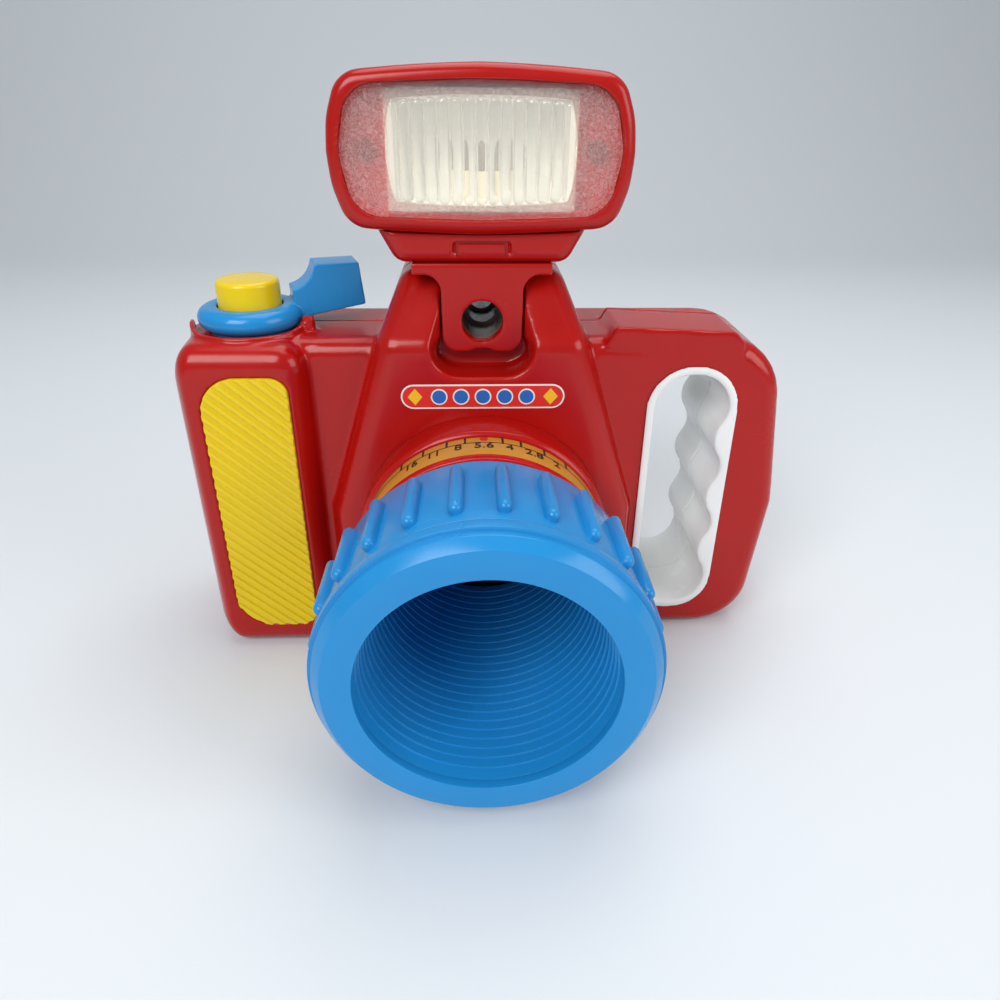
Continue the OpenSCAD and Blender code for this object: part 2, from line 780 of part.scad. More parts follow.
// Yellow panel with slanting ribs
module grip_panel() {
    reach = panel_h + panel_w;
    count = ceil(reach / rib_pitch);
    color("gold") {
        front_prism(-grip_front + panel_seat - panel_t, -grip_front + panel_seat) panel_outline(0);
        intersection() {
            front_prism(-grip_front + panel_seat - panel_t - rib_h, -grip_front + panel_seat) panel_outline(0);
            translate([-panel_x, -grip_front + panel_seat - panel_t, panel_z]) rotate([0, rib_angle, 0])
                for (i = [-count / 2 : count / 2])
                    translate([-reach / 2, -rib_h, i * rib_pitch - rib_pitch / 4])
                        cube([reach, rib_h + panel_t / 2, rib_pitch / 2]);
        }
    }
}

// One half of the white liner: rim outside, tube inside, bumps between the finger grooves
module liner_half(face_y, side) {
    rim_y = face_y + side * rim_proud;
    tube_y = parting_y;
    low_y = min(rim_y, tube_y);
    high_y = max(rim_y, tube_y);
    difference() {
        union() {
            front_prism(low_y, high_y) handle_outline(tube_inset);
            front_prism(min(face_y, rim_y), max(face_y, rim_y)) handle_outline(0);
        }
        difference() {
            front_prism(low_y - cut, high_y + cut) handle_outline(rim_w);
            front_prism(low_y - 2 * cut, high_y + 2 * cut) finger_wave();
        }
    }
}

// Bumps and grooves for the fingers, one running into the other
module finger_wave() {
    meet_x = liner_inner_x - groove_r * bump_h / wave_reach;
    for (i = [-1 : 1])
        translate([liner_inner_x - bump_h + bump_r, liner_mid_z + i * finger_pitch]) circle(bump_r);
    difference() {
        translate([meet_x, liner_mid_z - 3 / 2 * finger_pitch]) square([rim_w, 3 * finger_pitch]);
        for (i = [-3 : 2 : 3])
            translate([liner_inner_x - groove_r, liner_mid_z + i * finger_pitch / 2]) circle(groove_r - fit / 4);
    }
}

// Front half of the handle liner
module liner_front() {
    color("white") liner_half(-body_front, -1);
}

// Rear half of the handle liner
module liner_rear() {
    color("white") liner_half(body_back, 1);
}

// Viewfinder block in the hump's pocket, with the neck that the flash stands on
module viewfinder_block() {
    corner = finder_w / 5;
    scallop_r = finder_w / 3;
    flare_r = corner;
    color("firebrick") difference() {
        union() {
            front_prism(-finder_front, -pocket_floor)
                rounded_rect(
                    -finder_w / 2, finder_low, finder_w / 2, neck_top,
                    [corner, corner, 0, 0]
                );
            for (s = [-1, 1]) front_prism(-finder_front, -pocket_floor)
                translate([s * finder_w / 2, hump_top]) scale([s, -1]) difference() {
                    translate([-cut, -cut]) square(flare_r + cut);
                    translate([flare_r, flare_r]) circle(flare_r);
                }
            translate([-neck_w / 2, -finder_front, hump_top])
                cube([neck_w, finder_front + neck_back, neck_h]);
        }
        translate([0, 0, finder_z]) rod_y(finder_r, -finder_front - cut, -pocket_floor + cut);
        translate([0, 0, finder_low - scallop_r + cut]) rod_y(scallop_r, -finder_front - cut, -pocket_floor + cut);
    }
}

// Tube behind the viewfinder hole, narrowing in three steps
module viewfinder_tube() {
    len = (pocket_floor + body_back) / 3;
    color("dimgray") translate([0, 0, finder_z]) difference() {
        rod_y(finder_tube_r, -pocket_floor, body_back);
        for (i = [0 : 2])
            rod_y(finder_r - i * finder_step, -pocket_floor + i * len - cut, -pocket_floor + (i + 1) * len + cut);
    }
}

// Dark surround at the back of the viewfinder
module eyepiece() {
    color("black") translate([0, 0, finder_z]) difference() {
        rod_y(eyepiece_r, body_back, body_back + eyepiece_t);
        rod_y(window_r + fit, body_back - cut, body_back + eyepiece_t + cut);
    }
}

// Clear window in the eyepiece
module eyepiece_window() {
    color("lightcyan") translate([0, 0, finder_z]) rod_y(window_r, body_back, body_back + window_t);
}

// Red back of the flash with its foot, screw posts and snap clip
module flash_housing() {
    inner_w = clear_w - flash_wall;
    inner_h = clear_h - flash_wall;
    color("firebrick") difference() {
        union() {
            difference() {
                union() {
                    slab(flash_corners(flash_w, flash_h), bezel_back_y, flash_back, flash_back_r);
                    front_prism(bezel_back_y, (bezel_back_y + flash_back) / 2) flash_outline(flash_w, flash_h);
                    difference() {
                        flash_foot();
                        front_prism(-flash_front - cut, bezel_back_y)
                            flash_outline(flash_w + 2 * fit, flash_h + 2 * fit);
                    }
                }
                front_prism(bezel_back_y - cut, flash_back - flash_wall)
                    rounded_rect(
                        -inner_w / 2, flash_z - inner_h / 2, inner_w / 2, flash_z + inner_h / 2,
                        [flash_corner_r, flash_corner_r, flash_corner_r, flash_corner_r]
                    );
            }
            for (s = [-1, 1]) translate([s * flash_screw_span / 2, 0, flash_z])
                rod_y(flash_post_r, bezel_back_y, flash_back - flash_wall / 2);
        }
        for (s = [-1, 1]) translate([s * flash_screw_span / 2, 0, flash_z])
            rod_y(screw_r + fit, bezel_back_y - cut, flash_back - flash_wall);
        translate([0, 0, foot_low + foot_h / 2]) clip_recess();
    }
}

// Foot that narrows down to the neck
module flash_foot() {
    high = foot_low + foot_h + foot_r;
    slab(
        [
            for (s = [-1, 1]) [s * (foot_low_w / 2 - foot_r), foot_low + foot_r, foot_r],
            for (s = [-1, 1]) [s * (foot_top_w / 2 - foot_r), high, foot_r]
        ],
        -finder_front, flash_back - flash_back_r, bezel_edge_r
    );
}

// Narrow groove round the snap clip
module clip_recess() {
    front_prism(-finder_front - cut, -finder_front + flash_wall / 2) difference() {
        square([clip_w, clip_h], center = true);
        square([clip_w - flash_wall, clip_h - flash_wall / 2], center = true);
    }
}

// Red frame round the clear flash lens, with a back web for the two screws
module flash_bezel() {
    color("firebrick") difference() {
        slab(flash_corners(flash_w, flash_h), -flash_front, bezel_back_y, bezel_edge_r);
        front_prism(-flash_front - cut, clear_back_y) flash_outline(clear_w, clear_h);
        front_prism(clear_back_y - cut, web_y) flash_outline(clear_w - 2 * ledge_w, clear_h - 2 * ledge_w);
        front_prism(web_y - cut, bezel_back_y + cut)
            translate([0, flash_z]) square([flute_w + 2 * gap, flute_h + 2 * gap], center = true);
        for (s = [-1, 1]) translate([s * flash_screw_span / 2, 0, flash_z])
            rod_y(screw_r + fit, web_y - cut, bezel_back_y + cut);
    }
}

// Clear plastic front with upright flutes over its middle
module flash_lens() {
    pitch = flute_w / flute_count;
    sink = flute_r - clear_t / 4;
    color("whitesmoke") {
        front_prism(clear_front_y, clear_back_y) flash_outline(clear_w - 2 * fit, clear_h - 2 * fit);
        for (i = [0 : flute_count - 1])
            translate([(i + 1 / 2) * pitch - flute_w / 2, clear_front_y + sink, flash_z - flute_h / 2])
                intersection() {
                    cylinder(r = flute_r, h = flute_h);
                    translate([-pitch / 2, -flute_r - cut, 0]) cube([pitch, flute_r + cut, flute_h]);
                }
    }
}

// Bright trough behind the fluted window
module flash_reflector() {
    trough_r = flute_h / 2 - reflector_wall / 2;
    color("ivory") difference() {
        translate([-flute_w / 2, reflector_front_y, flash_z - flute_h / 2]) cube([flute_w, reflector_d, flute_h]);
        translate([-flute_w / 2 + reflector_wall, reflector_front_y, flash_z]) rotate([0, 90, 0])
            cylinder(r = trough_r, h = flute_w - 2 * reflector_wall);
        translate([0, bulb_y, flash_z - flute_h]) cylinder(r = holder_r + fit, h = flute_h);
    }
}

// Glass bulb
module flash_bulb() {
    color("lightyellow") translate([0, bulb_y, bulb_low]) {
        cylinder(r = bulb_r, h = bulb_len - bulb_r);
        translate([0, 0, bulb_len - bulb_r]) sphere(bulb_r);
    }
}

// Socket that the bulb stands in
module bulb_holder() {
    color("tan") translate([0, bulb_y, bulb_low - holder_len]) cylinder(r = holder_r, h = holder_len);
}

// Two screws that hold the bezel to the housing's posts
module flash_screws() {
    color("dimgray") for (s = [-1, 1])
        screw(s * flash_screw_span / 2, flash_z, web_y - head_t, screw_len - screw_recess, 1);
}

// Red collar with the sleeve that the lens turns in
module lens_collar() {
    chamfer = rim_groove;
    color("firebrick") translate([0, 0, lens_z]) turned_y() polygon([
        [sleeve_bore_r, sleeve_front_y],
        [sleeve_r, sleeve_front_y],
        [sleeve_r, collar_front_y],
        [collar_r - chamfer, collar_front_y],
        [collar_r, collar_front_y + chamfer],
        [collar_r, -hump_front],
        [sleeve_r, -hump_front],
        [sleeve_r, -hump_hollow_front],
        [sleeve_bore_r, -hump_hollow_front]
    ]);
}

// Gold ring for the aperture scale
module scale_ring() {
    color("goldenrod") translate([0, 0, lens_z]) turned_y()
        translate([sleeve_r + fit, scale_front_y]) square([scale_r - sleeve_r - fit, scale_len]);
}

// Thin red ring that keeps the scale ring on
module lens_retainer() {
    color("red") translate([0, 0, lens_z]) turned_y()
        translate([sleeve_r + fit, retainer_front_y]) square([retainer_r - sleeve_r - fit, retainer_len]);
}

// Blue outer barrel with its flange and grip ribs
module lens_barrel() {
    front_rim_r = flange_r - rim_groove;
    color("dodgerblue") translate([0, 0, lens_z]) {
        turned_y() polygon([
            [barrel_bore_r, barrel_back_y],
            [barrel_neck_r, barrel_back_y],
            [barrel_neck_r, barrel_back_y - barrel_neck_len],
            [barrel_back_r, barrel_back_y - barrel_neck_len],
            [barrel_front_r, flange_back_y],
            [flange_r - rim_groove / 2, flange_back_y],
            [flange_r, flange_back_y - rim_groove / 2],
            [flange_r, flange_back_y - back_rim_len],
            [front_rim_r, flange_back_y - back_rim_len],
            [front_rim_r, -lens_front + face_t],
            [face_r, -lens_front],
            [mouth_r, -lens_front],
            [mouth_r, tube_front_y],
            [barrel_bore_r, tube_front_y]
        ]);
        barrel_grip();
    }
}

// Grip ribs round the barrel: rods along Y whose ends slope down to the barrel
module barrel_grip() {
    front_y = flange_back_y + barrel_rib_back;
    back_y = front_y + barrel_rib_len;
    root_r = (barrel_bore_r + barrel_back_r) / 2;
    rod_at = barrel_rib_reach - barrel_rib_r;
    intersection() {
        front_prism(front_y, back_y) for (i = [0 : barrel_ribs - 1])
            rotate(i * 360 / barrel_ribs + barrel_rib_turn) {
                translate([0, rod_at]) circle(barrel_rib_r);
                translate([-barrel_rib_r, root_r]) square([2 * barrel_rib_r, rod_at - root_r]);
            }
        turned_y() polygon([
            [0, front_y],
            [rod_at, front_y],
            [barrel_rib_reach, front_y + barrel_rib_r],
            [barrel_rib_reach, back_y - barrel_rib_r],
            [rod_at, back_y],
            [0, back_y]
        ]);
    }
}

// Blue inner tube, stepped down towards the speaker
module lens_tube() {
    steps = [
        for (i = [0 : step_count - 1])
            let (y = -lens_front + mouth_band + i * step_len, r = mouth_r - i * step_drop)
            each [[r, y], [r - step_drop, y]]
    ];
    color("dodgerblue") translate([0, 0, lens_z]) turned_y() polygon(concat(
        [[mouth_r, tube_front_y]],
        steps,
        [
            [mouth_r - step_count * step_drop, tube_back_y],
            [sleeve_bore_r - fit, tube_back_y],
            [sleeve_bore_r - fit, sleeve_front_y - gap],
            [tube_shoulder_r, sleeve_front_y - gap],
            [tube_shoulder_r, tube_front_y]
        ]
    ));
}

// Ring on the tube's back end that keeps the lens in the body
module lens_snap_ring() {
    color("dodgerblue") translate([0, 0, lens_z]) turned_y()
        translate([sleeve_bore_r, snap_front_y]) square([snap_r - sleeve_bore_r, snap_t]);
}

// Blue wind lever: round collar, hub through the deck, arm and thumb block
module wind_lever() {
    edge = ring_h / 2;
    arm_in = ring_r - edge;
    color("dodgerblue") translate([-shutter_x, -shutter_y, 0]) difference() {
        union() {
            rotate_extrude() {
                translate([0, deck_ring_low]) square([ring_r - edge, ring_h]);
                translate([ring_r - edge, deck_ring_low + edge]) circle(edge);
            }
            translate([0, 0, hub_low]) cylinder(r = hub_r, h = deck_ring_low + edge - hub_low);
            rotate(lever_angle) difference() {
                translate([0, lever_t / 2, 0]) rotate([90, 0, 0]) linear_extrude(lever_t) polygon([
                    [arm_in, lever_low],
                    [lever_len, lever_low + lever_rise],
                    [lever_len - lever_slant, lever_top],
                    [arm_in, lever_top]
                ]);
                translate([arm_in - lever_slant, lever_t, lever_top + lever_slant]) rotate([90, 0, 0])
                    cylinder(r = lever_sweep_r, h = 2 * lever_t);
            }
        }
        translate([0, 0, hub_low - cut]) cylinder(r = lever_bore_r, h = ring_top - hub_low + 2 * cut);
    }
}

// Ring under the deck that keeps the lever down
module lever_retainer() {
    color("dodgerblue") translate([-shutter_x, -shutter_y, keeper_low]) difference() {
        cylinder(r = keeper_r, h = keeper_t);
        translate([0, 0, -cut]) cylinder(r = lever_bore_r, h = keeper_t + 2 * cut);
    }
}

// Return spring of the lever
module lever_spring() {
    color("silver") translate([-shutter_x, -shutter_y, 0])
        coil(lever_spring_r, lever_spring_wire_r, lever_spring_turns, plate_top + gap, keeper_low - gap);
}

// Yellow shutter button: a cup with a low dome, a stop flange and a stem over the switch
module shutter_button() {
    color("gold") translate([-shutter_x, -shutter_y, 0]) {
        difference() {
            union() {
                intersection() {
                    rotate_extrude() {
                        translate([0, button_flange_top])
                            square([button_r, button_top - button_edge_r - button_flange_top]);
                        translate([0, button_flange_top])
                            square([button_r - button_edge_r, button_top - button_flange_top]);
                        translate([button_r - button_edge_r, button_top - button_edge_r]) circle(button_edge_r);
                    }
                    translate([0, 0, button_top - button_dome_r]) sphere(button_dome_r);
                }
                translate([0, 0, button_flange_top - button_flange_t])
                    cylinder(r = button_flange_r, h = button_flange_t);
            }
            translate([0, 0, button_flange_top - button_flange_t - cut])
                cylinder(r = button_r - button_wall, h = button_roof - button_flange_top + button_flange_t + cut);
        }
        translate([0, 0, stem_low]) cylinder(r = stem_r, h = button_roof + button_wall / 2 - stem_low);
    }
}

// Return spring of the shutter button
module shutter_spring() {
    color("silver") translate([-shutter_x, -shutter_y, 0])
        coil(spring_r, spring_wire_r, spring_turns, plate_top, button_roof - gap);
}

// Push switch under the button's stem
module shutter_switch() {
    color("black") translate([-shutter_x, -shutter_y, plate_top]) {
        translate([-switch_w / 2, -switch_w / 2, 0]) cube([switch_w, switch_w, switch_h]);
        translate([0, 0, switch_h]) cylinder(r = plunger_r, h = plunger_h);
    }
}

// Plate that carries the switch and both springs on the battery box
module switch_plate() {
    leg_r = post_r - fit;
    color("dimgray") translate([-shutter_x, 0, 0]) {
        translate([-plate_w / 2, cell_y - plate_d, plate_low]) cube([plate_w, plate_d + leg_r, plate_t]);
        for (s = [-1, 1]) translate([s * (plate_w / 2 - leg_r), cell_y, plate_low - leg_h])
            cylinder(r = leg_r, h = leg_h + plate_t / 2);
    }
}

// The four places round the lens where the grille is fixed
module grille_posts() {
    for (a = [45 : 90 : 315])
        translate([grille_post_at * cos(a), 0, lens_z + grille_post_at * sin(a)]) children();
}

// Round plate with sound slots behind the lens tube, on four posts
module speaker_grille() {
    color("dimgray") difference() {
        union() {
            translate([0, 0, lens_z]) rod_y(grille_r, grille_front_y, grille_back_y);
            grille_posts() rod_y(grille_ear_r, grille_front_y, grille_back_y);
        }
        for (i = [0 : slot_count - 1]) {
            x = (i - (slot_count - 1) / 2) * slot_pitch;
            half = sqrt(pow(speaker_r - slot_w, 2) - pow(x, 2));
            translate([x - slot_w / 2, grille_front_y - cut, lens_z - half])
                cube([slot_w, grille_t + 2 * cut, 2 * half]);
        }
    }
}

// Steel basket and magnet of the speaker
module speaker_frame() {
    magnet_r = speaker_r * magnet_share;
    magnet_y = grille_back_y + speaker_d * (1 - magnet_len_share);
    cone_y = grille_back_y + speaker_d * cone_depth_share;
    color("silver") translate([0, 0, lens_z]) turned_y() polygon([
        [speaker_r - slot_w, grille_back_y + speaker_rim_t],
        [speaker_r - slot_w, grille_back_y],
        [speaker_r, grille_back_y],
        [speaker_r, grille_back_y + speaker_rim_t],
        [magnet_r, magnet_y],
        [magnet_r, grille_back_y + speaker_d],
        [0, grille_back_y + speaker_d],
        [0, cone_y + cone_t + gap],
        [magnet_r / 2, cone_y + cone_t + gap]
    ]);
}

// Paper cone of the speaker
module speaker_cone() {
    cone_y = grille_back_y + speaker_d * cone_depth_share;
    inner_r = speaker_r * magnet_share / 2;
    color("black") translate([0, 0, lens_z]) turned_y() polygon([
        [0, cone_y - cone_t],
        [inner_r - cone_t, cone_y - cone_t],
        [speaker_r - slot_w - 2 * cone_t, grille_back_y + cone_t],
        [speaker_r - slot_w - gap, grille_back_y + cone_t],
        [inner_r - gap, cone_y + cone_t],
        [0, cone_y + cone_t]
    ]);
}

// Circuit board with its sound chip, a capacitor and a resistor
module sound_board() {
    chip_r = 7;
    chip_t = 2;
    can_r = 3;
    can_h = 4;
    color("darkgreen") {
        translate([-board_w / 2, board_y, board_low]) cube([board_w, board_t, board_h]);
        translate([-board_w / 4, 0, lens_z]) rod_y(chip_r, board_y + board_t / 2, board_y + board_t + chip_t);
        translate([board_w / 4, 0, lens_z + board_h / 4])
            rod_y(can_r, board_y + board_t / 2, board_y + board_t + can_h);
        translate([board_w / 4, board_y + board_t / 2, lens_z - board_h / 4])
            cube([chip_r, chip_t + board_t / 2, can_r]);
    }
}

// Tray for two cells, open to the door
module battery_box() {
    color("dimgray") difference() {
        translate([box_left, box_front_y, box_low]) cube([box_w, box_d, box_h]);
        translate([box_left + box_wall, box_front_y + box_wall, box_low + box_wall])
            cube([box_w - 2 * box_wall, box_d, box_h - 2 * box_wall]);
    }
}

// Two round cells, one turned over
module battery_cells() {
    low = box_low + box_wall + contact_room;
    color("dimgray") for (i = [0, 1]) translate([cell_xs[i], cell_y, low + (i == 0 ? 0 : cell_len)])
        rotate([i * 180, 0, 0]) {
            cylinder(r = cell_r, h = cell_len - nub_h);
            cylinder(r = nub_r, h = cell_len);
        }
}

// Metal contacts at both ends of the cells
module battery_contacts() {
    color("silver") for (x = cell_xs, end = [0, 1]) {
        wall_z = end == 0 ? box_low + box_wall : box_high - box_wall - contact_t;
        boss_z = end == 0 ? wall_z : wall_z - (contact_room - contact_t - gap);
        translate([x - cell_r / 2, cell_y - cell_r / 2, wall_z]) cube([cell_r, cell_r, contact_t]);
        translate([x, cell_y, boss_z]) cylinder(r = nub_r, h = contact_room - gap);
    }
}

module door_outline(grow) {
    x0 = -shutter_x - door_w / 2 - grow;
    x1 = -shutter_x + door_w / 2 + grow;
    rounded_rect(
        x0, door_z - door_h / 2 - grow, x1, door_z + door_h / 2 + grow,
        [door_r, door_r, door_r, door_r]
    );
}

// Screwed battery cover in the back, with finger ribs at its foot
module battery_door() {
    color("firebrick") difference() {
        union() {
            front_prism(hollow_back, body_back) door_outline(0);
            for (i = [0 : door_grip_count - 1])
                translate([-shutter_x - door_w / 4, body_back, door_z - door_h / 2 + door_r + (i + 1) * door_grip_pitch])
                    rotate([0, 90, 0]) cylinder(r = door_grip_r, h = door_w / 2);
        }
        translate([-shutter_x, 0, door_screw_z]) {
            rod_y(screw_r + fit, hollow_back - cut, body_back + cut);
            rod_y(screw_head_r + fit, body_back - head_t / 2, body_back + cut);
        }
    }
}

// Screw of the battery cover
module door_screw() {
    color("silver") screw(-shutter_x, door_screw_z, body_back + head_t / 2, head_t / 2 + wall, -1);
}

// Six screws that hold the shells together
module case_screws() {
    color("silver") for (p = screw_places)
        screw(p[0], p[1], body_back - screw_recess + head_t, screw_len, -1);
}

front_shell();
rear_shell();
grip_panel();
liner_front();
liner_rear();
viewfinder_block();
viewfinder_tube();
eyepiece();
eyepiece_window();
flash_housing();
flash_bezel();
flash_lens();
flash_reflector();
flash_bulb();
bulb_holder();
flash_screws();
lens_collar();
scale_ring();
lens_retainer();
lens_barrel();
lens_tube();
lens_snap_ring();
wind_lever();
lever_retainer();
lever_spring();
shutter_button();
shutter_spring();
shutter_switch();
switch_plate();
speaker_grille();
speaker_frame();
speaker_cone();
sound_board();
battery_box();
battery_cells();
battery_contacts();
battery_door();
door_screw();
case_screws();
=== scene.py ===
import math

import bpy
from mathutils import Matrix, Vector


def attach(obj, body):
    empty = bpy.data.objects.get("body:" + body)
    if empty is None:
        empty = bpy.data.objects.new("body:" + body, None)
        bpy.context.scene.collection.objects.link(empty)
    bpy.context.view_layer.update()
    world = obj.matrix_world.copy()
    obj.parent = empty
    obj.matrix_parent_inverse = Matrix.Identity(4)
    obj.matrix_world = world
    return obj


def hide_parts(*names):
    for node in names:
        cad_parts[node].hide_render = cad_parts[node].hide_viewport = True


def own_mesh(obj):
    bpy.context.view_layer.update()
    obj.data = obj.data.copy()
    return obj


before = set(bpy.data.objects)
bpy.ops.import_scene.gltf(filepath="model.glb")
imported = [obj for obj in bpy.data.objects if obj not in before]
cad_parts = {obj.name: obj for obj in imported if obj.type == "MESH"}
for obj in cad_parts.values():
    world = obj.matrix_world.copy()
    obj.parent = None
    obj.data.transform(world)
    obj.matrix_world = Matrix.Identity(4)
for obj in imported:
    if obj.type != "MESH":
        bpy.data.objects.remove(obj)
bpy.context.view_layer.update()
MM = 0.001

# The viewpoint: a phone held in front of the toy and a little above it, looking down at the lens.
# Its place, turn and field of view were fitted to the edges of the object in the photograph.
eye = Vector((-2.73, -218.8, 159.51)) * MM
pitch = math.radians(28.7)
yaw = math.radians(2.25)
roll = math.radians(0.48)
forward = Vector((math.sin(yaw) * math.cos(pitch), math.cos(yaw) * math.cos(pitch), -math.sin(pitch)))
level = Vector((math.cos(yaw), -math.sin(yaw), 0))
upright = level.cross(forward)
right = level * math.cos(roll) + upright * math.sin(roll)
up = upright * math.cos(roll) - level * math.sin(roll)
bpy.ops.object.camera_add()
view = bpy.context.object
view.name = "view"
view.matrix_world = Matrix.Translation(eye) @ Matrix((right, up, -forward)).transposed().to_4x4()
view.data.sensor_width = 36
view.data.lens = 27.04
view.data.clip_start = 0.01
bpy.context.scene.camera = view


# The floor and the wall behind it: one sheet of pale card, swept up in a wide curve.
# Card is matt, so it keeps a soft shadow and shows no reflection of the toy.
def linear(code):
    """An sRGB hex colour as linear red, green, blue and alpha."""
    channels = [int(code[i:i + 2], 16) / 255 for i in (1, 3, 5)]
    return [c / 12.92 if c <= 0.04045 else ((c + 0.055) / 1.055) ** 2.4 for c in channels] + [1]


def add_node(tree, kind, inputs=None, **settings):
    """A new node with its settings; each input is a value or the socket that feeds it."""
    node = tree.nodes.new(kind)
    for key, value in settings.items():
        setattr(node, key, value)
    for socket, value in (inputs or {}).items():
        if isinstance(value, bpy.types.NodeSocket):
            tree.links.new(value, node.inputs[socket])
        else:
            node.inputs[socket].default_value = value
    return node


def new_material(name):
    """An empty node material and the surface socket of its output."""
    material = bpy.data.materials.new(name)
    material.use_nodes = True
    material.node_tree.nodes.clear()
    output = add_node(material.node_tree, "ShaderNodeOutputMaterial")
    return material, material.node_tree, output.inputs["Surface"]


floor_half = 2.0
wall_y = 1.1
sweep_r = 0.5
bpy.ops.mesh.primitive_plane_add(size=2 * floor_half, location=(0, wall_y - floor_half, -0.0002))
sweep = bpy.context.object
sweep.name = "sweep"
bpy.ops.object.mode_set(mode="EDIT")
bpy.ops.mesh.select_mode(type="EDGE")
bpy.ops.mesh.select_all(action="DESELECT")
bpy.ops.object.mode_set(mode="OBJECT")
for edge in sweep.data.edges:
    ends = [sweep.data.vertices[i].co.y for i in edge.vertices]
    edge.select = min(ends) > 0
bpy.ops.object.mode_set(mode="EDIT")
bpy.ops.mesh.extrude_region_move(TRANSFORM_OT_translate={"value": (0, 0, floor_half)})
bpy.ops.mesh.select_all(action="DESELECT")
bpy.ops.object.mode_set(mode="OBJECT")
for edge in sweep.data.edges:
    ends = [sweep.data.vertices[i].co for i in edge.vertices]
    edge.select = min(p.y for p in ends) > 0 and max(p.z for p in ends) < sweep_r
bpy.ops.object.mode_set(mode="EDIT")
bpy.ops.mesh.bevel(offset=sweep_r, segments=16)
bpy.ops.object.mode_set(mode="OBJECT")
bpy.ops.object.shade_smooth()
card, tree, surface = new_material("pale_card")
place = add_node(tree, "ShaderNodeTexCoord")
fibre = add_node(tree, "ShaderNodeTexNoise", {"Vector": place.outputs["Object"], "Scale": 1 / (1.5 * MM)})
relief = add_node(tree, "ShaderNodeBump", {
    "Height": fibre.outputs["Fac"], "Strength": 0.05, "Distance": 0.05 * MM,
})
paper = add_node(tree, "ShaderNodeBsdfPrincipled", {
    "Base Color": linear("#D9DEE2"), "Roughness": 0.75, "Normal": relief.outputs["Normal"],
})
tree.links.new(paper.outputs["BSDF"], surface)
sweep.data.materials.append(card)

# The light: a wide soft box by the viewpoint, a second on the handle side, one overhead, and a pale room.
# Together they light the front at a plain level, so that a colour looks about as it is written.
target = Vector((0, -30, 70)) * MM
for name, spot, size, watts in (
    ("key_box", (-420, -780, 760), 620, 8.5),
    ("side_box", (760, -420, 420), 520, 3.0),
    ("top_box", (80, 160, 900), 700, 4.0),
):
    bpy.ops.object.light_add(type="AREA", location=Vector(spot) * MM)
    lamp = bpy.context.object
    lamp.name = name
    lamp.data.size = size * MM
    lamp.data.energy = watts
    lamp.rotation_euler = (target - lamp.location).to_track_quat("-Z", "Y").to_euler()
room = bpy.context.scene.world or bpy.data.worlds.new("room")
bpy.context.scene.world = room
room.use_nodes = True
room.node_tree.nodes.clear()
glow = add_node(room.node_tree, "ShaderNodeBackground", {"Color": linear("#E9EEF2"), "Strength": 0.34})
add_node(room.node_tree, "ShaderNodeOutputWorld", {"Surface": glow.outputs["Background"]})
bpy.context.scene.view_settings.view_transform = "Standard"


# Front shell: the moulded half that carries the grip bulge, the hump, the handle and the deck.
# It is high-gloss red ABS from a polished steel mould, so every edge and inner corner has a small radius.
def gloss_abs(name, code, wave_mm=7.0, scuff_mm=22.0):
    """ABS from a polished mould: a clear gloss, faint sink waves, and dull patches where it has been rubbed."""
    material, tree, surface = new_material(name)
    place = add_node(tree, "ShaderNodeTexCoord")
    wave = add_node(tree, "ShaderNodeTexNoise", {
        "Vector": place.outputs["Object"], "Scale": 1 / (wave_mm * MM), "Detail": 1,
    })
    grain = add_node(tree, "ShaderNodeTexNoise", {
        "Vector": place.outputs["Object"], "Scale": 1 / (0.5 * MM), "Detail": 3,
    })
    scuff = add_node(tree, "ShaderNodeTexNoise", {
        "Vector": place.outputs["Object"], "Scale": 1 / (scuff_mm * MM), "Detail": 3, "Roughness": 0.5,
    })
    dull = add_node(tree, "ShaderNodeMapRange", {
        "Value": scuff.outputs["Fac"], "From Min": 0.35, "From Max": 0.7, "To Min": 0.17, "To Max": 0.28,
    })
    tint = add_node(tree, "ShaderNodeMapRange", {
        "Value": scuff.outputs["Fac"], "From Min": 0.3, "From Max": 0.7, "To Min": 0.97, "To Max": 1.03,
    })
    shade = add_node(tree, "ShaderNodeHueSaturation", {"Color": linear(code), "Value": tint.outputs["Result"]})
    sink = add_node(tree, "ShaderNodeBump", {
        "Height": wave.outputs["Fac"], "Strength": 0.1, "Distance": 0.15 * MM,
    })
    skin = add_node(tree, "ShaderNodeBump", {
        "Height": grain.outputs["Fac"], "Strength": 0.03, "Distance": 0.02 * MM,
        "Normal": sink.outputs["Normal"],
    })
    plastic = add_node(tree, "ShaderNodeBsdfPrincipled", {
        "Base Color": shade.outputs["Color"], "Roughness": dull.outputs["Result"], "IOR": 1.53,
        "Specular IOR Level": 0.32, "Normal": skin.outputs["Normal"],
    })
    tree.links.new(plastic.outputs["BSDF"], surface)
    return material


def copy_of(node, name):
    """A piece that starts as a solid of the frame, its loose triangles merged into one skin."""
    piece = bpy.data.objects.new(name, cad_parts[node].data.copy())
    bpy.context.scene.collection.objects.link(piece)
    bpy.ops.object.select_all(action="DESELECT")
    piece.select_set(True)
    bpy.context.view_layer.objects.active = piece
    bpy.ops.mesh.customdata_custom_splitnormals_clear()
    bpy.ops.object.mode_set(mode="EDIT")
    bpy.ops.mesh.select_all(action="SELECT")
    bpy.ops.mesh.remove_doubles(threshold=0.002 * MM)
    bpy.ops.object.mode_set(mode="OBJECT")
    return piece


def apply_modifier(piece, kind, **settings):
    """Adds a modifier to the piece and applies it at once."""
    bpy.ops.object.select_all(action="DESELECT")
    piece.select_set(True)
    bpy.context.view_layer.objects.active = piece
    modifier = piece.modifiers.new(kind.lower(), kind)
    for key, value in settings.items():
        setattr(modifier, key, value)
    bpy.ops.object.modifier_apply(modifier=modifier.name)


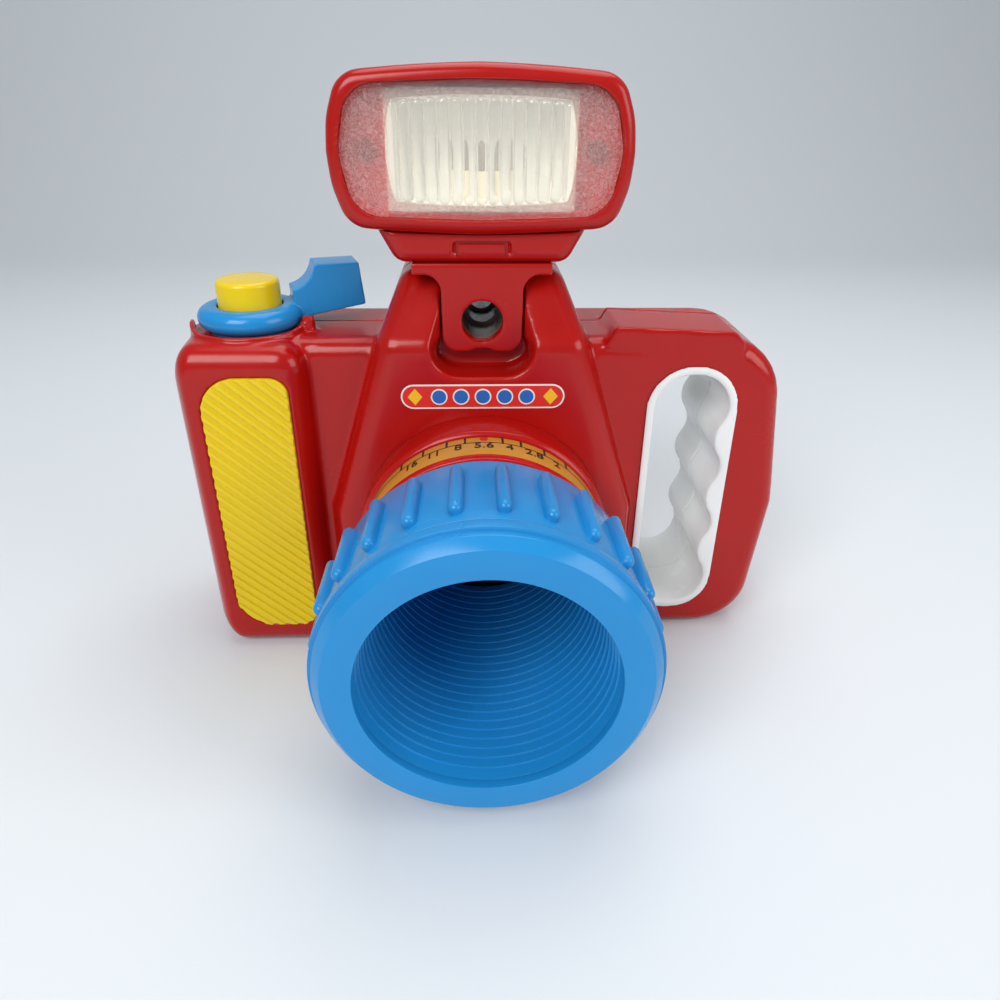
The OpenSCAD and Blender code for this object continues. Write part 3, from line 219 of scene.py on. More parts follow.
def soften(piece, voxel_mm, passes, keep=1.0):
    """Runs every edge and inner corner soft, as a mould leaves them, then thins the mesh to the share kept."""
    apply_modifier(piece, "REMESH", mode="VOXEL", voxel_size=voxel_mm * MM)
    apply_modifier(piece, "SMOOTH", factor=0.5, iterations=passes)
    apply_modifier(piece, "DECIMATE", ratio=keep)


def dress(piece, material, body, *nodes):
    """Gives the finished piece its material, its smooth shading and its body, and hides the solids it stands for.
    """
    piece.data.materials.clear()
    piece.data.materials.append(material)
    bpy.ops.object.select_all(action="DESELECT")
    piece.select_set(True)
    bpy.context.view_layer.objects.active = piece
    bpy.ops.object.shade_smooth_by_angle(angle=math.radians(35))
    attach(piece, body)
    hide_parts(*nodes)


red_abs = gloss_abs("red_gloss_ABS", "#A80F0A")


def turn_in(piece, start=-78.5, reach=9.5, back=2.0, deep=26.0, ease=0.8, pull=4.2):
    """Draws the grip end of a shell in towards the front, so that its side runs round in one wide curve."""
    for vertex in piece.data.vertices:
        x, y = vertex.co.x / MM, vertex.co.y / MM
        if x < start:
            s = (start - x) / reach
            t = max(0, (back - y) / deep)
            vertex.co.x += (ease + pull * t * t) * s * MM


def lower_lip(piece, deck=99.0, inner=15.0, outer=19.5, keep=0.5):
    """Brings down the lip round the lever where it passes in front; its end tab and the stop stud stay high."""
    for vertex in piece.data.vertices:
        x, y, z = (vertex.co / MM) - Vector((-65.8, -2, deck))
        r = math.hypot(x, y)
        if z > 0 and inner < r < outer:
            front_share = min(1, max(0, (-y / r - 0.3) / 0.4))
            vertex.co.z -= (1 - keep) * front_share * z * MM


def close_pocket(piece, half=14.0, near=2.0, far=2.2, fade=1.2, inward=2.5, mouth=-23.0, face=-17.0, back=-11.0,
                 low=94.0, rise=6.0):
    """Leans the side walls of the hump's pocket in to the viewfinder block, so that only their mouth is wide."""
    for vertex in piece.data.vertices:
        x, y, z = vertex.co / MM
        wall = min(1, max(0, (half + far - abs(x)) / fade)) if abs(x) > half - near else 0
        deep = min(1, max(0, (y - mouth) / (face - mouth))) if y < back else 0
        high = min(1, max(0, (z - low) / rise))
        vertex.co.x -= math.copysign(inward * wall * deep * high * MM, x)


shell_voxel = 0.6
shell_passes = 7
shell_keep = 0.45
front = copy_of("front_shell", "front_half")
soften(front, shell_voxel, shell_passes, shell_keep)
lower_lip(front)
close_pocket(front)
turn_in(front)
dress(front, red_abs, "body", "front_shell")

# Rear shell: the other half of the same red moulding, screwed to the front half from behind.
# The two meet in a fine V groove all round, because both rims are rounded.
rear = copy_of("rear_shell", "rear_half")
soften(rear, shell_voxel, shell_passes, shell_keep)
turn_in(rear)
dress(rear, red_abs, "body", "rear_shell")

# Battery door: a flat red ABS lid in the back with five grip ribs, held by one screw through its top end.
# It comes from the same mould shop as the shells, so it has their colour and gloss.
door = copy_of("battery_door", "battery_lid")
soften(door, 0.4, 3, 0.5)
dress(door, red_abs, "body", "battery_door")

# Grip panel: a thin yellow ABS plate pressed into a seat in the grip, with half-round ribs set on a slant.
# The ribs run right across, so each one carries its own narrow line of light.
yellow_abs = gloss_abs("yellow_gloss_ABS", "#E3C41A")
panel = copy_of("grip_panel", "ribbed_grip")
panel_rib_h = 0.5
panel_rib_gain = 1.3
panel_face = min(vertex.co.y for vertex in panel.data.vertices) + panel_rib_h * MM
soften(panel, 0.25, 2, 0.6)
for vertex in panel.data.vertices:
    vertex.co.y = min(vertex.co.y, panel_face + panel_rib_gain * (vertex.co.y - panel_face))
dress(panel, yellow_abs, "body", "grip_panel")

# Handle liner: two white ABS halves that line the hole in the bow and meet halfway through it.
# Their inner face is waved for four fingers, and each has a flat rim that laps over the shell.
white_abs = gloss_abs("white_gloss_ABS", "#E6E6E4")
for node, name in (("liner_front", "handle_liner_front"), ("liner_rear", "handle_liner_rear")):
    liner = copy_of(node, name)
    soften(liner, 0.5, 4, 0.6)
    dress(liner, white_abs, "body", node)

# Viewfinder block: a red ABS block in the pocket of the hump, with a flat neck on top that carries the flash.
# Its lower corners and its fillets into the neck are rounded by the mould.
finder = copy_of("viewfinder_block", "finder_block")
soften(finder, 0.4, 5, 0.6)
dress(finder, red_abs, "body", "viewfinder_block")

# Eyepiece: a black ABS ring pressed over the back end of the viewfinder tube.
# It is moulded with a satin face, so that it doesn't glare into the eye.
dark_abs = gloss_abs("black_satin_ABS", "#1D1D20", wave_mm=3.0, scuff_mm=9.0)
eyepiece = copy_of("eyepiece", "eyepiece_ring")
soften(eyepiece, 0.3, 3, 0.6)
dress(eyepiece, dark_abs, "body", "eyepiece")

# Flash head: a red ABS housing on a foot over the neck, closed in front by a thick rounded bezel.
# Both are polished like the body; a snap clip in the foot, cut free on three sides, holds it to the neck.
def block(low, high):
    """A block between two corners, in millimetres."""
    low, high = Vector(low) * MM, Vector(high) * MM
    bpy.ops.object.select_all(action="DESELECT")
    bpy.ops.mesh.primitive_cube_add(size=1, location=(low + high) / 2, scale=high - low)
    bpy.ops.object.transform_apply(location=True, rotation=False, scale=True)
    return bpy.context.object


def combine(piece, other, operation):
    """Joins, cuts or trims the piece with another solid, which is used up."""
    apply_modifier(piece, "BOOLEAN", operation=operation, object=other, solver="EXACT", use_self=True)
    bpy.data.objects.remove(other)


flash_z = 145.9
bow_peak = 6.75
foot_high = 1.2
foot_low = 1.9


def bow(piece, side=0.5, drop=1.2, low_drop=0.84, half_w=34.0, half_h=14.0, foot=0.1):
    """Fills the sides of a flash piece out to long bows, lets its top and bottom fall away to the corners, and
    spreads the foot."""
    for vertex in piece.data.vertices:
        u, v = vertex.co.x / MM / half_w, (vertex.co.z / MM - flash_z) / half_h
        fill = bow_peak * v * v * max(0, 1 - v * v) ** 2
        above_foot = min(1, max(0, (v + foot_low) / 0.5))
        spread = min(1, max(0, (-v - foot_high) / 0.1)) * min(1, max(0, (0.95 - abs(u)) / 0.2))
        vertex.co.x += (side * fill + foot * half_w * spread) * u * MM
        vertex.co.z -= (low_drop if v < 0 else drop) * above_foot * u * u * v * MM


housing = copy_of("flash_housing", "flash_case")
soften(housing, 0.5, 4, 0.5)
bow(housing)
foot_front = -17.0
clip_groove = block((-6.8, foot_front - 1, 121.2), (6.8, foot_front + 0.9, 125.1))
combine(clip_groove, block((-5.9, foot_front - 2, 120), (5.9, foot_front + 2, 124.2)), "DIFFERENCE")
combine(housing, clip_groove, "DIFFERENCE")
dress(housing, red_abs, "body", "flash_housing")
bezel = copy_of("flash_bezel", "flash_frame")
soften(bezel, 0.4, 4, 0.5)
bow(bezel, foot=0.0)
dress(bezel, red_abs, "body", "flash_bezel")


# Lens collar: the red ABS sleeve that stands on the front of the hump and carries the rings and the barrel.
# It is turned in the mould, with a step at its foot.
lens_axis = Vector((0, 0, 43.5)) * MM


def draw(name, points):
    """A flat outline through the points, drawn vertex by vertex and filled; it is left open for editing."""
    bpy.ops.object.select_all(action="DESELECT")
    bpy.ops.mesh.primitive_plane_add(size=MM)
    piece = bpy.context.object
    piece.name = name
    bpy.ops.object.mode_set(mode="EDIT")
    bpy.ops.mesh.select_mode(type="VERT")
    bpy.ops.mesh.select_all(action="SELECT")
    bpy.ops.mesh.merge(type="CENTER")
    bpy.ops.transform.translate(value=points[0])
    for here, there in zip(points, points[1:] + points[:1]):
        bpy.ops.mesh.extrude_vertices_move(TRANSFORM_OT_translate={"value": there - here})
    bpy.ops.mesh.select_all(action="SELECT")
    bpy.ops.mesh.remove_doubles(threshold=0.001 * MM)
    bpy.ops.mesh.edge_face_add()
    return piece


def close_up():
    """Merges what meets, drops loose edges, turns the faces outwards and ends the editing."""
    bpy.ops.mesh.select_all(action="SELECT")
    bpy.ops.mesh.remove_doubles(threshold=0.001 * MM)
    bpy.ops.mesh.delete_loose()
    bpy.ops.mesh.select_all(action="SELECT")
    bpy.ops.mesh.normals_make_consistent(inside=False)
    bpy.ops.object.mode_set(mode="OBJECT")


def turn(name, outline, round_mm, centre=lens_axis, axis=Vector((0, 1, 0)), steps=144):
    """A turned piece: its outline, in radius and place along the axis, is drawn, rounded and spun."""
    piece = draw(name, [centre + (Vector((r, 0, 0)) + axis * t) * MM for r, t in outline])
    if round_mm:
        bpy.ops.mesh.bevel(offset=round_mm * MM, segments=3, affect="VERTICES")
        bpy.ops.mesh.select_all(action="SELECT")
    bpy.ops.mesh.delete(type="ONLY_FACE")
    bpy.ops.mesh.select_all(action="SELECT")
    bpy.ops.mesh.spin(steps=steps, angle=math.tau, center=centre, axis=axis)
    close_up()
    return piece


collar = turn("lens_sleeve", [
    (30.5, -62.3), (33, -62.3), (33, -35), (35, -35), (36, -34), (36, -24), (33, -24), (33, -21.6), (30.5, -21.6),
], 0.4)
dress(collar, red_abs, "body", "lens_collar")

# Scale ring: a gold ABS band pressed over the sleeve, printed with the stops of a real lens.
# The numbers and the fine line with its ticks are black pad-print, and the mark over the middle stop is red.
gold_abs = gloss_abs("gold_tinted_ABS", "#C08A35", wave_mm=5.0, scuff_mm=14.0)
band_r = 34.5
band_back = -35.0
band = turn("stop_ring", [(33.1, -46), (band_r, -46), (band_r, band_back), (33.1, band_back)], 0.25)
dress(band, gold_abs, "body", "scale_ring")


def pad_print(name, code):
    """Pad-printed ink: a thin matt film with a slightly uneven gloss."""
    material, tree, surface = new_material(name)
    place = add_node(tree, "ShaderNodeTexCoord")
    film = add_node(tree, "ShaderNodeTexNoise", {"Vector": place.outputs["Object"], "Scale": 1 / (0.6 * MM)})
    sheen = add_node(tree, "ShaderNodeMapRange", {
        "Value": film.outputs["Fac"], "To Min": 0.3, "To Max": 0.55,
    })
    ink = add_node(tree, "ShaderNodeBsdfPrincipled", {
        "Base Color": linear(code), "Roughness": sheen.outputs["Result"], "IOR": 1.5,
    })
    tree.links.new(ink.outputs["BSDF"], surface)
    return material


def on_band(angle, y, lift=0.0):
    """The frame of a mark on the band: right along it, up to the body, and out of it."""
    a = math.radians(angle)
    spot = lens_axis + Vector(((band_r + lift) * math.sin(a), y, (band_r + lift) * math.cos(a))) * MM
    frame_axes = Matrix(((math.cos(a), 0, math.sin(a)), (0, 1, 0), (-math.sin(a), 0, math.cos(a))))
    return Matrix.Translation(spot) @ frame_axes.to_4x4()


def lay_down(piece, place):
    """Puts a flat mark, made at the origin, where it belongs and leaves its object unturned."""
    piece.data.transform(place)


def join(name, pieces):
    """One piece from several."""
    bpy.ops.object.select_all(action="DESELECT")
    for piece in pieces:
        piece.select_set(True)
    bpy.context.view_layer.objects.active = pieces[0]
    bpy.ops.object.join()
    pieces[0].name = name
    return pieces[0]


def plain_plate(width, length, thick):
    """A thin plate at the origin with its edges broken, for a printed mark."""
    bpy.ops.object.select_all(action="DESELECT")
    bpy.ops.mesh.primitive_cube_add(size=MM, scale=(width, length, thick))
    plate = bpy.context.object
    bpy.ops.object.transform_apply(location=False, rotation=False, scale=True)
    bpy.ops.object.mode_set(mode="EDIT")
    bpy.ops.mesh.bevel(offset=0.2 * thick * MM, segments=1)
    bpy.ops.object.mode_set(mode="OBJECT")
    return plate


black_ink = pad_print("black_pad_print", "#17140F")
red_ink = pad_print("red_pad_print", "#C3201C")
stop_pitch = 11.3
number_y = -40.4
line_y = -38.4
ink_t = 0.12
marks = [turn("stop_line", [
    (band_r - ink_t, line_y - 0.15), (band_r + ink_t / 2, line_y - 0.15),
    (band_r + ink_t / 2, line_y + 0.15), (band_r - ink_t, line_y + 0.15),
], 0)]
for i, number in enumerate(("16", "11", "8", "5.6", "4", "2.8", "2")):
    angle = (i - 3) * stop_pitch
    bpy.ops.object.select_all(action="DESELECT")
    bpy.ops.object.text_add()
    digits = bpy.context.object
    digits.data.body = number
    digits.data.size = 4.4 * MM
    digits.data.extrude = ink_t * MM
    digits.data.align_x = "CENTER"
    digits.data.align_y = "CENTER"
    digits.data.resolution_u = 4
    bpy.ops.object.convert(target="MESH")
    lay_down(digits, on_band(angle, number_y))
    marks.append(digits)
for angle in (-40, -28, -16.6, -8.3, 8.3, 16.6, 28, 40):
    tick = plain_plate(0.55, band_back - line_y, 2 * ink_t)
    lay_down(tick, on_band(angle, (band_back + line_y) / 2 - 0.2))
    marks.append(tick)
scale = join("stop_numbers", marks)
scale.data.materials.clear()
scale.data.materials.append(black_ink)
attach(scale, "body")
bpy.ops.object.select_all(action="DESELECT")
bpy.ops.mesh.primitive_cylinder_add(radius=1.1 * MM, depth=3 * ink_t * MM, vertices=24)
dot = bpy.context.object
dot.name = "stop_mark"
bpy.ops.object.mode_set(mode="EDIT")
bpy.ops.mesh.bevel(offset=0.08 * MM, segments=2)
bpy.ops.object.mode_set(mode="OBJECT")
lay_down(dot, on_band(0, -36.4))
dot.data.materials.append(red_ink)
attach(dot, "body")

# Retaining ring: a thin bright red ring that snaps over the sleeve in front of the scale and keeps it there.
# It is a shade brighter and glossier than the body.
ring_red = gloss_abs("bright_red_gloss_ABS", "#B8161A", wave_mm=9.0, scuff_mm=30.0)
ring = turn("thin_ring", [(33.1, -49), (34.9, -49), (34.9, -46), (33.1, -46)], 0.5)
dress(ring, ring_red, "body", "lens_retainer")

# Lens barrel: the big blue ABS ring that a child turns, with a ribbed grip and a stepped flange in front.
# Its 24 ribs are tall and round-ended, so that small fingers hold them; a fine groove lies behind the flange.
blue_abs = gloss_abs("blue_gloss_ABS", "#2086C6")
rib_count = 24
rib_turn = 5.3
rib_r = 1.6
rib_at = 39.8
rib_front = -83.6
rib_back = -63.6
rib_depth = 2.0
barrel = turn("focus_barrel", [
    (33.3, -49.3), (34.4, -49.3), (34.4, -58), (38.3, -58), (39.1, -86.2), (38.2, -86.5), (38.2, -87.5),
    (39.5, -87.5), (40, -88), (40, -90.9), (39, -90.9), (39, -92.5), (36.8, -95), (29.9, -95), (29.9, -92.5),
    (33.3, -92.5),
], 0.12, steps=6 * rib_count)


def nudge(piece, chosen, move):
    """Moves the chosen vertices of a piece, in millimetres."""
    bpy.ops.object.select_all(action="DESELECT")
    piece.select_set(True)
    bpy.context.view_layer.objects.active = piece
    bpy.ops.object.mode_set(mode="EDIT")
    bpy.ops.mesh.select_mode(type="VERT")
    bpy.ops.mesh.select_all(action="DESELECT")
    bpy.ops.object.mode_set(mode="OBJECT")
    piece.data.vertices.foreach_set("select", chosen)
    bpy.ops.object.mode_set(mode="EDIT")
    bpy.ops.transform.translate(value=Vector(move) * MM)
    bpy.ops.object.mode_set(mode="OBJECT")


def round_bar(name, radius, low, high):
    """A bar along Y with round ends: a ball that is pulled apart at its middle."""
    bpy.ops.object.select_all(action="DESELECT")
    bpy.ops.mesh.primitive_uv_sphere_add(
        segments=20, ring_count=12, radius=radius * MM, rotation=(math.pi / 2, 0, 0),
    )
    bar = bpy.context.object
    bar.name = name
    bpy.ops.object.transform_apply(location=False, rotation=True, scale=False)
    ends = [vertex.co.y < 0 for vertex in bar.data.vertices]
    nudge(bar, ends, (0, low + radius, 0))
    nudge(bar, [not end for end in ends], (0, high - radius, 0))
    return bar


rib = round_bar("rib", rib_r, rib_front, rib_back)
nudge(rib, [vertex.co.z < -0.01 * rib_r * MM for vertex in rib.data.vertices], (0, 0, -rib_depth))
ribs = []
for i in range(rib_count):
    copy = bpy.data.objects.new("rib_copy", rib.data.copy())
    bpy.context.scene.collection.objects.link(copy)
    turn_by = Matrix.Rotation(math.radians(rib_turn) + i * math.tau / rib_count, 4, "Y")
    copy.data.transform(Matrix.Translation(lens_axis) @ turn_by @ Matrix.Translation((0, 0, rib_at * MM)))
    ribs.append(copy)
bpy.data.objects.remove(rib)
grip = join("ribs", ribs)
combine(barrel, grip, "UNION")
dress(barrel, blue_abs, "lens", "lens_barrel")

# Lens tube: the deep blue ABS funnel inside the barrel, glued to it behind the flange.
# Its bore goes back in 24 fine steps, and each step's edge catches a thin ring of light.
step_count = 24
step_run = 2.904
step_drop = 0.2
step_lip = 0.22
mouth_r = 29.9
mouth_y = -92.5
steps_y = -89.0
bore = [(mouth_r, mouth_y), (mouth_r, steps_y)]
for i in range(step_count):
    bore.append((mouth_r - step_drop * (i + 1) - step_lip, steps_y + step_run * i))
    bore.append((mouth_r - step_drop * (i + 1), steps_y + step_run * (i + 1)))
tube = turn("stepped_tube", bore + [(30.4, -19.3), (30.4, -62.6), (32.1, -62.6), (32.1, mouth_y)], 0.05)
dress(tube, blue_abs, "lens", "lens_tube")

# Wind lever: a round blue ABS collar that turns in the deck, with an arm that sweeps up to a flat thumb block.
# A return spring under the deck pulls it back when it is let go.
lever = copy_of("wind_lever", "advance_lever")
soften(lever, 0.35, 4, 0.6)
dress(lever, blue_abs, "lever", "wind_lever")

# Shutter button: a hollow yellow ABS plunger with a low dome, inside the lever's collar.
# A flange under the deck keeps it in, and a coil spring lifts it.
shutter_axis = Vector((-65.8, -2, 0)) * MM
dome_r = 70.0
button_top = 112.8
dome = [(r, button_top - dome_r + math.sqrt(dome_r ** 2 - r ** 2)) for r in (7.0, 5.6, 4.2, 2.8, 1.4, 0)]
edge = [(7.35 + 1.4 * math.sin(a), 111.15 + 1.4 * math.cos(a)) for a in (1.5, 1.2, 0.9, 0.6, 0.3)]
button = turn("shutter_cap", [
    (6.75, 92.9), (10.15, 92.9), (10.15, 94.4), (8.75, 94.4),
] + edge + dome + [(0, 95.9), (2, 95.9), (2, 108.8), (6.75, 108.8)], 0,
    centre=shutter_axis, axis=Vector((0, 0, 1)), steps=96)
dress(button, yellow_abs, "shutter", "shutter_button")


# Inner mouldings: the rings that keep the moving pieces in, the viewfinder tube, switch, grille and battery box.
# They are plain injection-moulded ABS in blue, grey and black, snapped or screwed into the shells.
def finish_node(material, *nodes):
    """Gives solids that stay as they are their real finish."""
    for node in nodes:
        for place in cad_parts[node].material_slots:
            place.material = material


grey_abs = gloss_abs("grey_satin_ABS", "#6F6258", wave_mm=4.0, scuff_mm=10.0)
finish_node(blue_abs, "lens_snap_ring", "lever_retainer")
finish_node(grey_abs, "viewfinder_tube", "switch_plate")
finish_node(dark_abs, "shutter_switch", "speaker_grille", "battery_box")

# Flash inside: a pale trough with a flat flange, moulded in cream ABS, with a bulb in a holder of the same.
# The trough has a high polish and throws the light of the room back out through the flutes.
cream_abs = gloss_abs("cream_polished_ABS", "#D9D7CF", wave_mm=6.0)
flange_front = -15.7
flange_t = 0.9
flange_w, flange_h = 23.7, 13.9
trough_w, trough_h = 22.2, 11.4
trough = copy_of("flash_reflector", "flash_trough")
flange = block(
    (-flange_w, flange_front, flash_z - flange_h), (flange_w, flange_front + flange_t, flash_z + flange_h),
)
combine(flange, block((-trough_w, -20, flash_z - trough_h), (trough_w, -10, flash_z + trough_h)), "DIFFERENCE")
combine(trough, flange, "UNION")
dress(trough, cream_abs, "body", "flash_reflector")
holder_abs = gloss_abs("ivory_satin_ABS", "#E4D9BC", wave_mm=3.0, scuff_mm=6.0)
finish_node(holder_abs, "bulb_holder")


# Flash lens: one clear styrene moulding with a hammered field and, over the trough, a bowed window of flutes.
# The hammering blurs the screws and the red web behind it; the pink of its two ends is painted light, a glow of
# that lit red web put into the colour of the plastic.
# Each flute gathers the pale trough into a bright bar.
def clear_moulding(name, code, through, roughness, ior, wrinkle_mm, wrinkle, straight=0.0):
    """Clear moulding: a share of the light goes straight through it, its wrinkles break up the rest, and its
    shadow is pale."""
    material, tree, surface = new_material(name)
    place = add_node(tree, "ShaderNodeTexCoord")
    folds = add_node(tree, "ShaderNodeTexNoise", {
        "Vector": place.outputs["Object"], "Scale": 1 / (wrinkle_mm * MM), "Detail": 2, "Distortion": 1.2,
    })
    relief = add_node(tree, "ShaderNodeBump", {
        "Height": folds.outputs["Fac"], "Strength": wrinkle, "Distance": 0.9 * MM,
    })
    body = add_node(tree, "ShaderNodeBsdfPrincipled", {
        "Base Color": linear(code), "Roughness": roughness, "IOR": ior, "Transmission Weight": through,
        "Normal": relief.outputs["Normal"],
    })
    ray = add_node(tree, "ShaderNodeLightPath")
    thin = add_node(tree, "ShaderNodeMapRange", {
        "Value": folds.outputs["Fac"], "From Min": 0.4, "From Max": 0.6,
        "To Min": 0.8 * straight, "To Max": 1.2 * straight,
    })
    share = add_node(tree, "ShaderNodeMath", {
        0: ray.outputs["Is Shadow Ray"], 1: thin.outputs["Result"],
    }, operation="MAXIMUM")
    open_way = add_node(tree, "ShaderNodeBsdfTransparent", {"Color": linear(code)})
    both = add_node(tree, "ShaderNodeMixShader", {
        0: share.outputs["Value"], 1: body.outputs["BSDF"], 2: open_way.outputs["BSDF"],
    })
    tree.links.new(both.outputs["Shader"], surface)
    return material


hammered_styrene = clear_moulding("clear_hammered_styrene", "#F6F0EE", 0.8, 0.2, 1.55, 0.8, 1.0, 0.45)
# Painted light: the pink colour of the two ends stands in for the lit red web glowing through them.
red_glow_painted_styrene = clear_moulding("hammered_styrene_painted_red_glow", "#FFDAD6", 0.42, 0.2, 1.55, 0.8, 1.0, 0.58)
fluted_styrene = clear_moulding("clear_fluted_styrene", "#F8F7F2", 0.8, 0.06, 1.55, 3.0, 0.03)
glass_front = -18.0
glass_back = -16.0
field_half_w = 23.4
window_half_w = 21.4
window_half_h = 11.3
window_bow_w = 1.9
window_bow_h = 1.0
flute_pitch = 3.07
flute_r = 1.57
flute_crown = -18.5
flute_squash = 0.85


def window_block(name, grow, front, back):
    """The bowed outline of the fluted window, made solid between two depths."""
    points = []
    for side in range(4):
        for k in range(10):
            s = -1 + 2 * k / 10
            across, up = (
                (s * window_half_w, window_half_h + window_bow_h * (1 - s * s)),
                (window_half_w + window_bow_w * (1 - s * s), -s * window_half_h),
                (-s * window_half_w, -window_half_h - window_bow_h * (1 - s * s)),
                (-window_half_w - window_bow_w * (1 - s * s), s * window_half_h),
            )[side]
            swell = 1 + grow / window_half_h
            points.append(Vector((across * swell, front, flash_z + up * swell)) * MM)
    piece = draw(name, points)
    bpy.ops.mesh.extrude_region_move(TRANSFORM_OT_translate={"value": (0, (back - front) * MM, 0)})
    close_up()
    return piece


glass = copy_of("flash_lens", "flash_glass")
bpy.ops.object.mode_set(mode="EDIT")
bpy.ops.mesh.select_all(action="SELECT")
bpy.ops.mesh.bisect(
    plane_co=(0, glass_front * MM + 0.01 * MM, 0), plane_no=(0, -1, 0), use_fill=True, clear_outer=True
)
bpy.ops.object.mode_set(mode="OBJECT")
bow(glass)
bpy.ops.object.mode_set(mode="EDIT")
for side in (-1, 1):
    bpy.ops.mesh.select_all(action="SELECT")
    bpy.ops.mesh.bisect(plane_co=(side * field_half_w * MM, 0, 0), plane_no=(1, 0, 0))
bpy.ops.object.mode_set(mode="OBJECT")
combine(glass, window_block("opening", 0.12, glass_front - 2, glass_back + 2), "DIFFERENCE")
flutes = []
for i in range(-8, 9):
    s = min(1, abs(i) * flute_pitch / window_half_w)
    reach = window_half_h + window_bow_h * (1 - s * s)
    flute = round_bar("flute", flute_r, -reach, reach)
    stand = Matrix.Rotation(math.pi / 2, 4, "X")
    flatten = Matrix.Diagonal((1, flute_squash, 1, 1))
    spot = Vector((i * flute_pitch, flute_crown + flute_r * flute_squash, flash_z)) * MM
    flute.data.transform(Matrix.Translation(spot) @ flatten @ stand)
    flutes.append(flute)
window = window_block("backing", 0, glass_front + 0.6, glass_back)
combine(window, join("flutes", flutes), "UNION")
combine(window, window_block("trim", 0, glass_front - 2, glass_back + 2), "INTERSECT")
window.data.materials.clear()
window.data.materials.append(fluted_styrene)
dress(glass, hammered_styrene, "body", "flash_lens")
# Faces past the edge of the field take the painted red glow of the web behind.
glass.data.materials.append(red_glow_painted_styrene)
for face in glass.data.polygons:
    face.material_index = int(abs(face.center.x) > field_half_w * MM)
glass = join("flash_glass", [glass, window])

# Small clear pieces: the polished window of the eyepiece and the smoked glass bulb of the flash.
# The bulb is blown glass with a little soot in it, so it looks grey-brown against the pale trough.
clear_window = clear_moulding("clear_polished_styrene", "#EFF3F4", 1.0, 0.03, 1.55, 4.0, 0.02)
bulb_glass = clear_moulding("smoked_bulb_glass", "#A89A80", 0.7, 0.05, 1.45, 3.0, 0.02)
finish_node(clear_window, "eyepiece_window")
finish_node(bulb_glass, "flash_bulb")


# Screws: round-headed steel self-tappers with a cross recess, in the flash, the door and the back of the case.
# Those outside are zinc plated with a soft, slightly uneven shine; the two in the flash are blackened.
def plated_metal(name, code, roughness, grain_mm):
    """Plated metal: a bright skin whose shine varies a little with the grain of the plating."""
    material, tree, surface = new_material(name)
    place = add_node(tree, "ShaderNodeTexCoord")
    grain = add_node(tree, "ShaderNodeTexNoise", {
        "Vector": place.outputs["Object"], "Scale": 1 / (grain_mm * MM), "Detail": 4,
    })
    shine = add_node(tree, "ShaderNodeMapRange", {
        "Value": grain.outputs["Fac"], "From Min": 0.3, "From Max": 0.7,
        "To Min": 0.7 * roughness, "To Max": 1.4 * roughness,
    })
    skin = add_node(tree, "ShaderNodeBump", {
        "Height": grain.outputs["Fac"], "Strength": 0.08, "Distance": 0.03 * MM,
    })
    metal = add_node(tree, "ShaderNodeBsdfPrincipled", {
        "Base Color": linear(code), "Metallic": 1.0, "Roughness": shine.outputs["Result"],
        "Normal": skin.outputs["Normal"],
    })
    tree.links.new(metal.outputs["BSDF"], surface)
    return material


zinc_steel = plated_metal("zinc_plated_steel", "#B4B2AB", 0.28, 0.8)
black_steel = plated_metal("blackened_steel", "#3A352F", 0.4, 0.8)
recess_len = 2.9
recess_w = 0.6
recess_deep = 0.8


def with_cross(node, name, spots, face_y, metal):
    """Screws with a cross cut into each head; no two stand at the same angle."""
    piece = copy_of(node, name)
    for i, (x, z) in enumerate(spots):
        for quarter in (0, 90):
            bpy.ops.object.select_all(action="DESELECT")
            bpy.ops.mesh.primitive_cube_add(
                size=MM, location=Vector((x, face_y, z)) * MM, scale=(recess_len, 2 * recess_deep, recess_w),
                rotation=(0, math.radians(20 + 37 * i + quarter), 0),
            )
            bit = bpy.context.object
            apply_modifier(piece, "BOOLEAN", operation="DIFFERENCE", object=bit, solver="EXACT")
            bpy.data.objects.remove(bit)
    dress(piece, metal, "body", node)


with_cross("flash_screws", "flash_tappers", [(-28.8, flash_z), (28.8, flash_z)], -13.0, black_steel)
with_cross("door_screw", "lid_tapper", [(-65.8, 73.2)], 22.9, zinc_steel)
with_cross("case_screws", "case_tappers", [
    (-46.35, 11), (-46.35, 93.5), (42.6, 11), (42.6, 93.5), (82.5, 65.3), (82.5, 26.7),
], 15.8, zinc_steel)

# Springs, contacts and the speaker's basket: drawn spring wire, nickel-plated strip and pressed tinplate.
# None is painted, so each shows bare metal; the button's spring gets a mesh of its own.
spring_wire = plated_metal("drawn_spring_wire", "#A5A39D", 0.22, 0.4)
nickel_strip = plated_metal("nickel_plated_strip", "#C9C2B4", 0.2, 0.6)
tinplate = plated_metal("pressed_tinplate", "#AFADA8", 0.34, 1.2)
finish_node(spring_wire, "lever_spring")
press_spring = copy_of("shutter_spring", "press_spring")
dress(press_spring, spring_wire, "body", "shutter_spring")
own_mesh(press_spring)
finish_node(nickel_strip, "battery_contacts")
finish_node(tinplate, "speaker_frame")

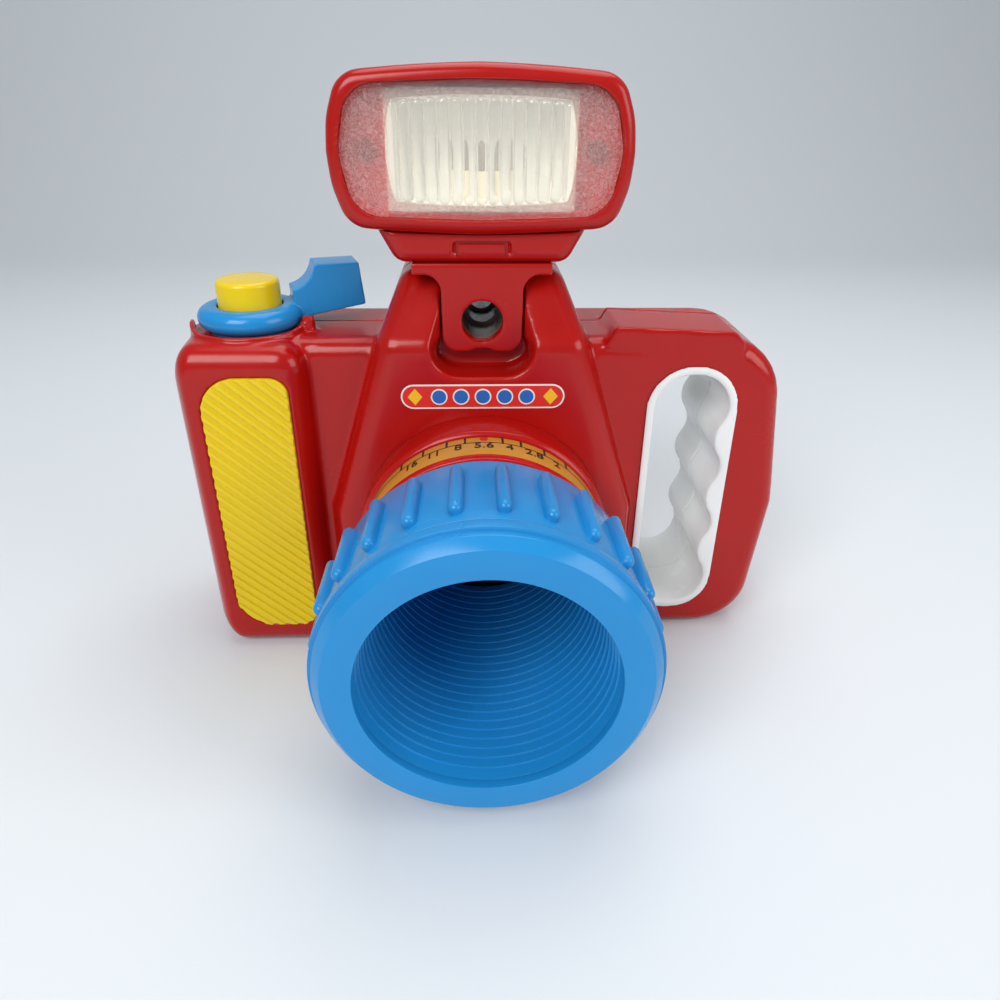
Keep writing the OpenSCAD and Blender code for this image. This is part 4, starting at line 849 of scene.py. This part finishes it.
# Speaker cone, sound board and cells: black pressed paper, green glass-fibre board, and plain sleeved cells.
# Paper shows its fibre, the board its weave under the lacquer, and a cell the gloss of shrunk film.
cone_paper = pad_print("black_cone_paper", "#2A2724")
finish_node(cone_paper, "speaker_cone")
board_green = gloss_abs("green_glass_fibre_board", "#1F6B3A", wave_mm=1.2, scuff_mm=6.0)
finish_node(board_green, "sound_board")
cell_film = gloss_abs("grey_shrink_film", "#4C5560", wave_mm=5.0, scuff_mm=12.0)
finish_node(cell_film, "battery_cells")

# Label: a strip of printed vinyl stuck on the front of the hump over the lens.
# It has a white edge, a red field, a row of blue dots ringed in white, and a yellow lozenge at each end.
hump_face = -24.0
label_z = 85.3
vinyl_t = 0.08


def vinyl(outlines, layer):
    """Flat patches of one colour, each given by its outline, on a layer of the print."""
    patches = []
    for outline in outlines:
        front_y = hump_face - 0.02 - layer * vinyl_t
        patch = draw("patch", [Vector((x, front_y, label_z + z)) * MM for x, z in outline])
        bpy.ops.mesh.extrude_region_move(TRANSFORM_OT_translate={"value": (0, -vinyl_t * MM, 0)})
        close_up()
        patches.append(patch)
    return patches


def strip_outline(half, radius):
    """A bar with half-round ends."""
    turns = [math.pi * (k / 12 - 0.5) for k in range(13)]
    right_end = [(half + radius * math.cos(a), radius * math.sin(a)) for a in turns]
    return right_end + [(-x, -z) for x, z in right_end]


def dot_outline(x, radius):
    """A round dot."""
    return [(x + radius * math.cos(k * math.tau / 32), radius * math.sin(k * math.tau / 32)) for k in range(32)]


def lozenge_outline(x, half_w, half_h):
    """An upright lozenge."""
    return [(x - half_w, 0), (x, half_h), (x + half_w, 0), (x, -half_h)]


dot_places = [-12, -6, 0, 6, 12]
end_places = [-18.6, 18.6]
for name, code, slot, layer, outlines in (
    ("label_edge", "#E8E4DE", "white_plastic", 0, [strip_outline(19.0, 3.5)]),
    ("label_field", "#D3261C", "ring_red_plastic", 1, [strip_outline(19.0, 3.05)]),
    ("label_rings", "#E8E4DE", "white_plastic", 2, [dot_outline(x, 2.3) for x in dot_places]),
    ("label_dots", "#1F62B4", "blue_plastic", 3, [dot_outline(x, 1.9) for x in dot_places]),
    ("label_ends", "#EDB51E", "yellow_plastic", 2, [lozenge_outline(x, 2.0, 2.4) for x in end_places]),
):
    patch = join(name, vinyl(outlines, layer))
    patch.data.materials.append(pad_print(name + "_vinyl", code))
    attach(patch, "body")
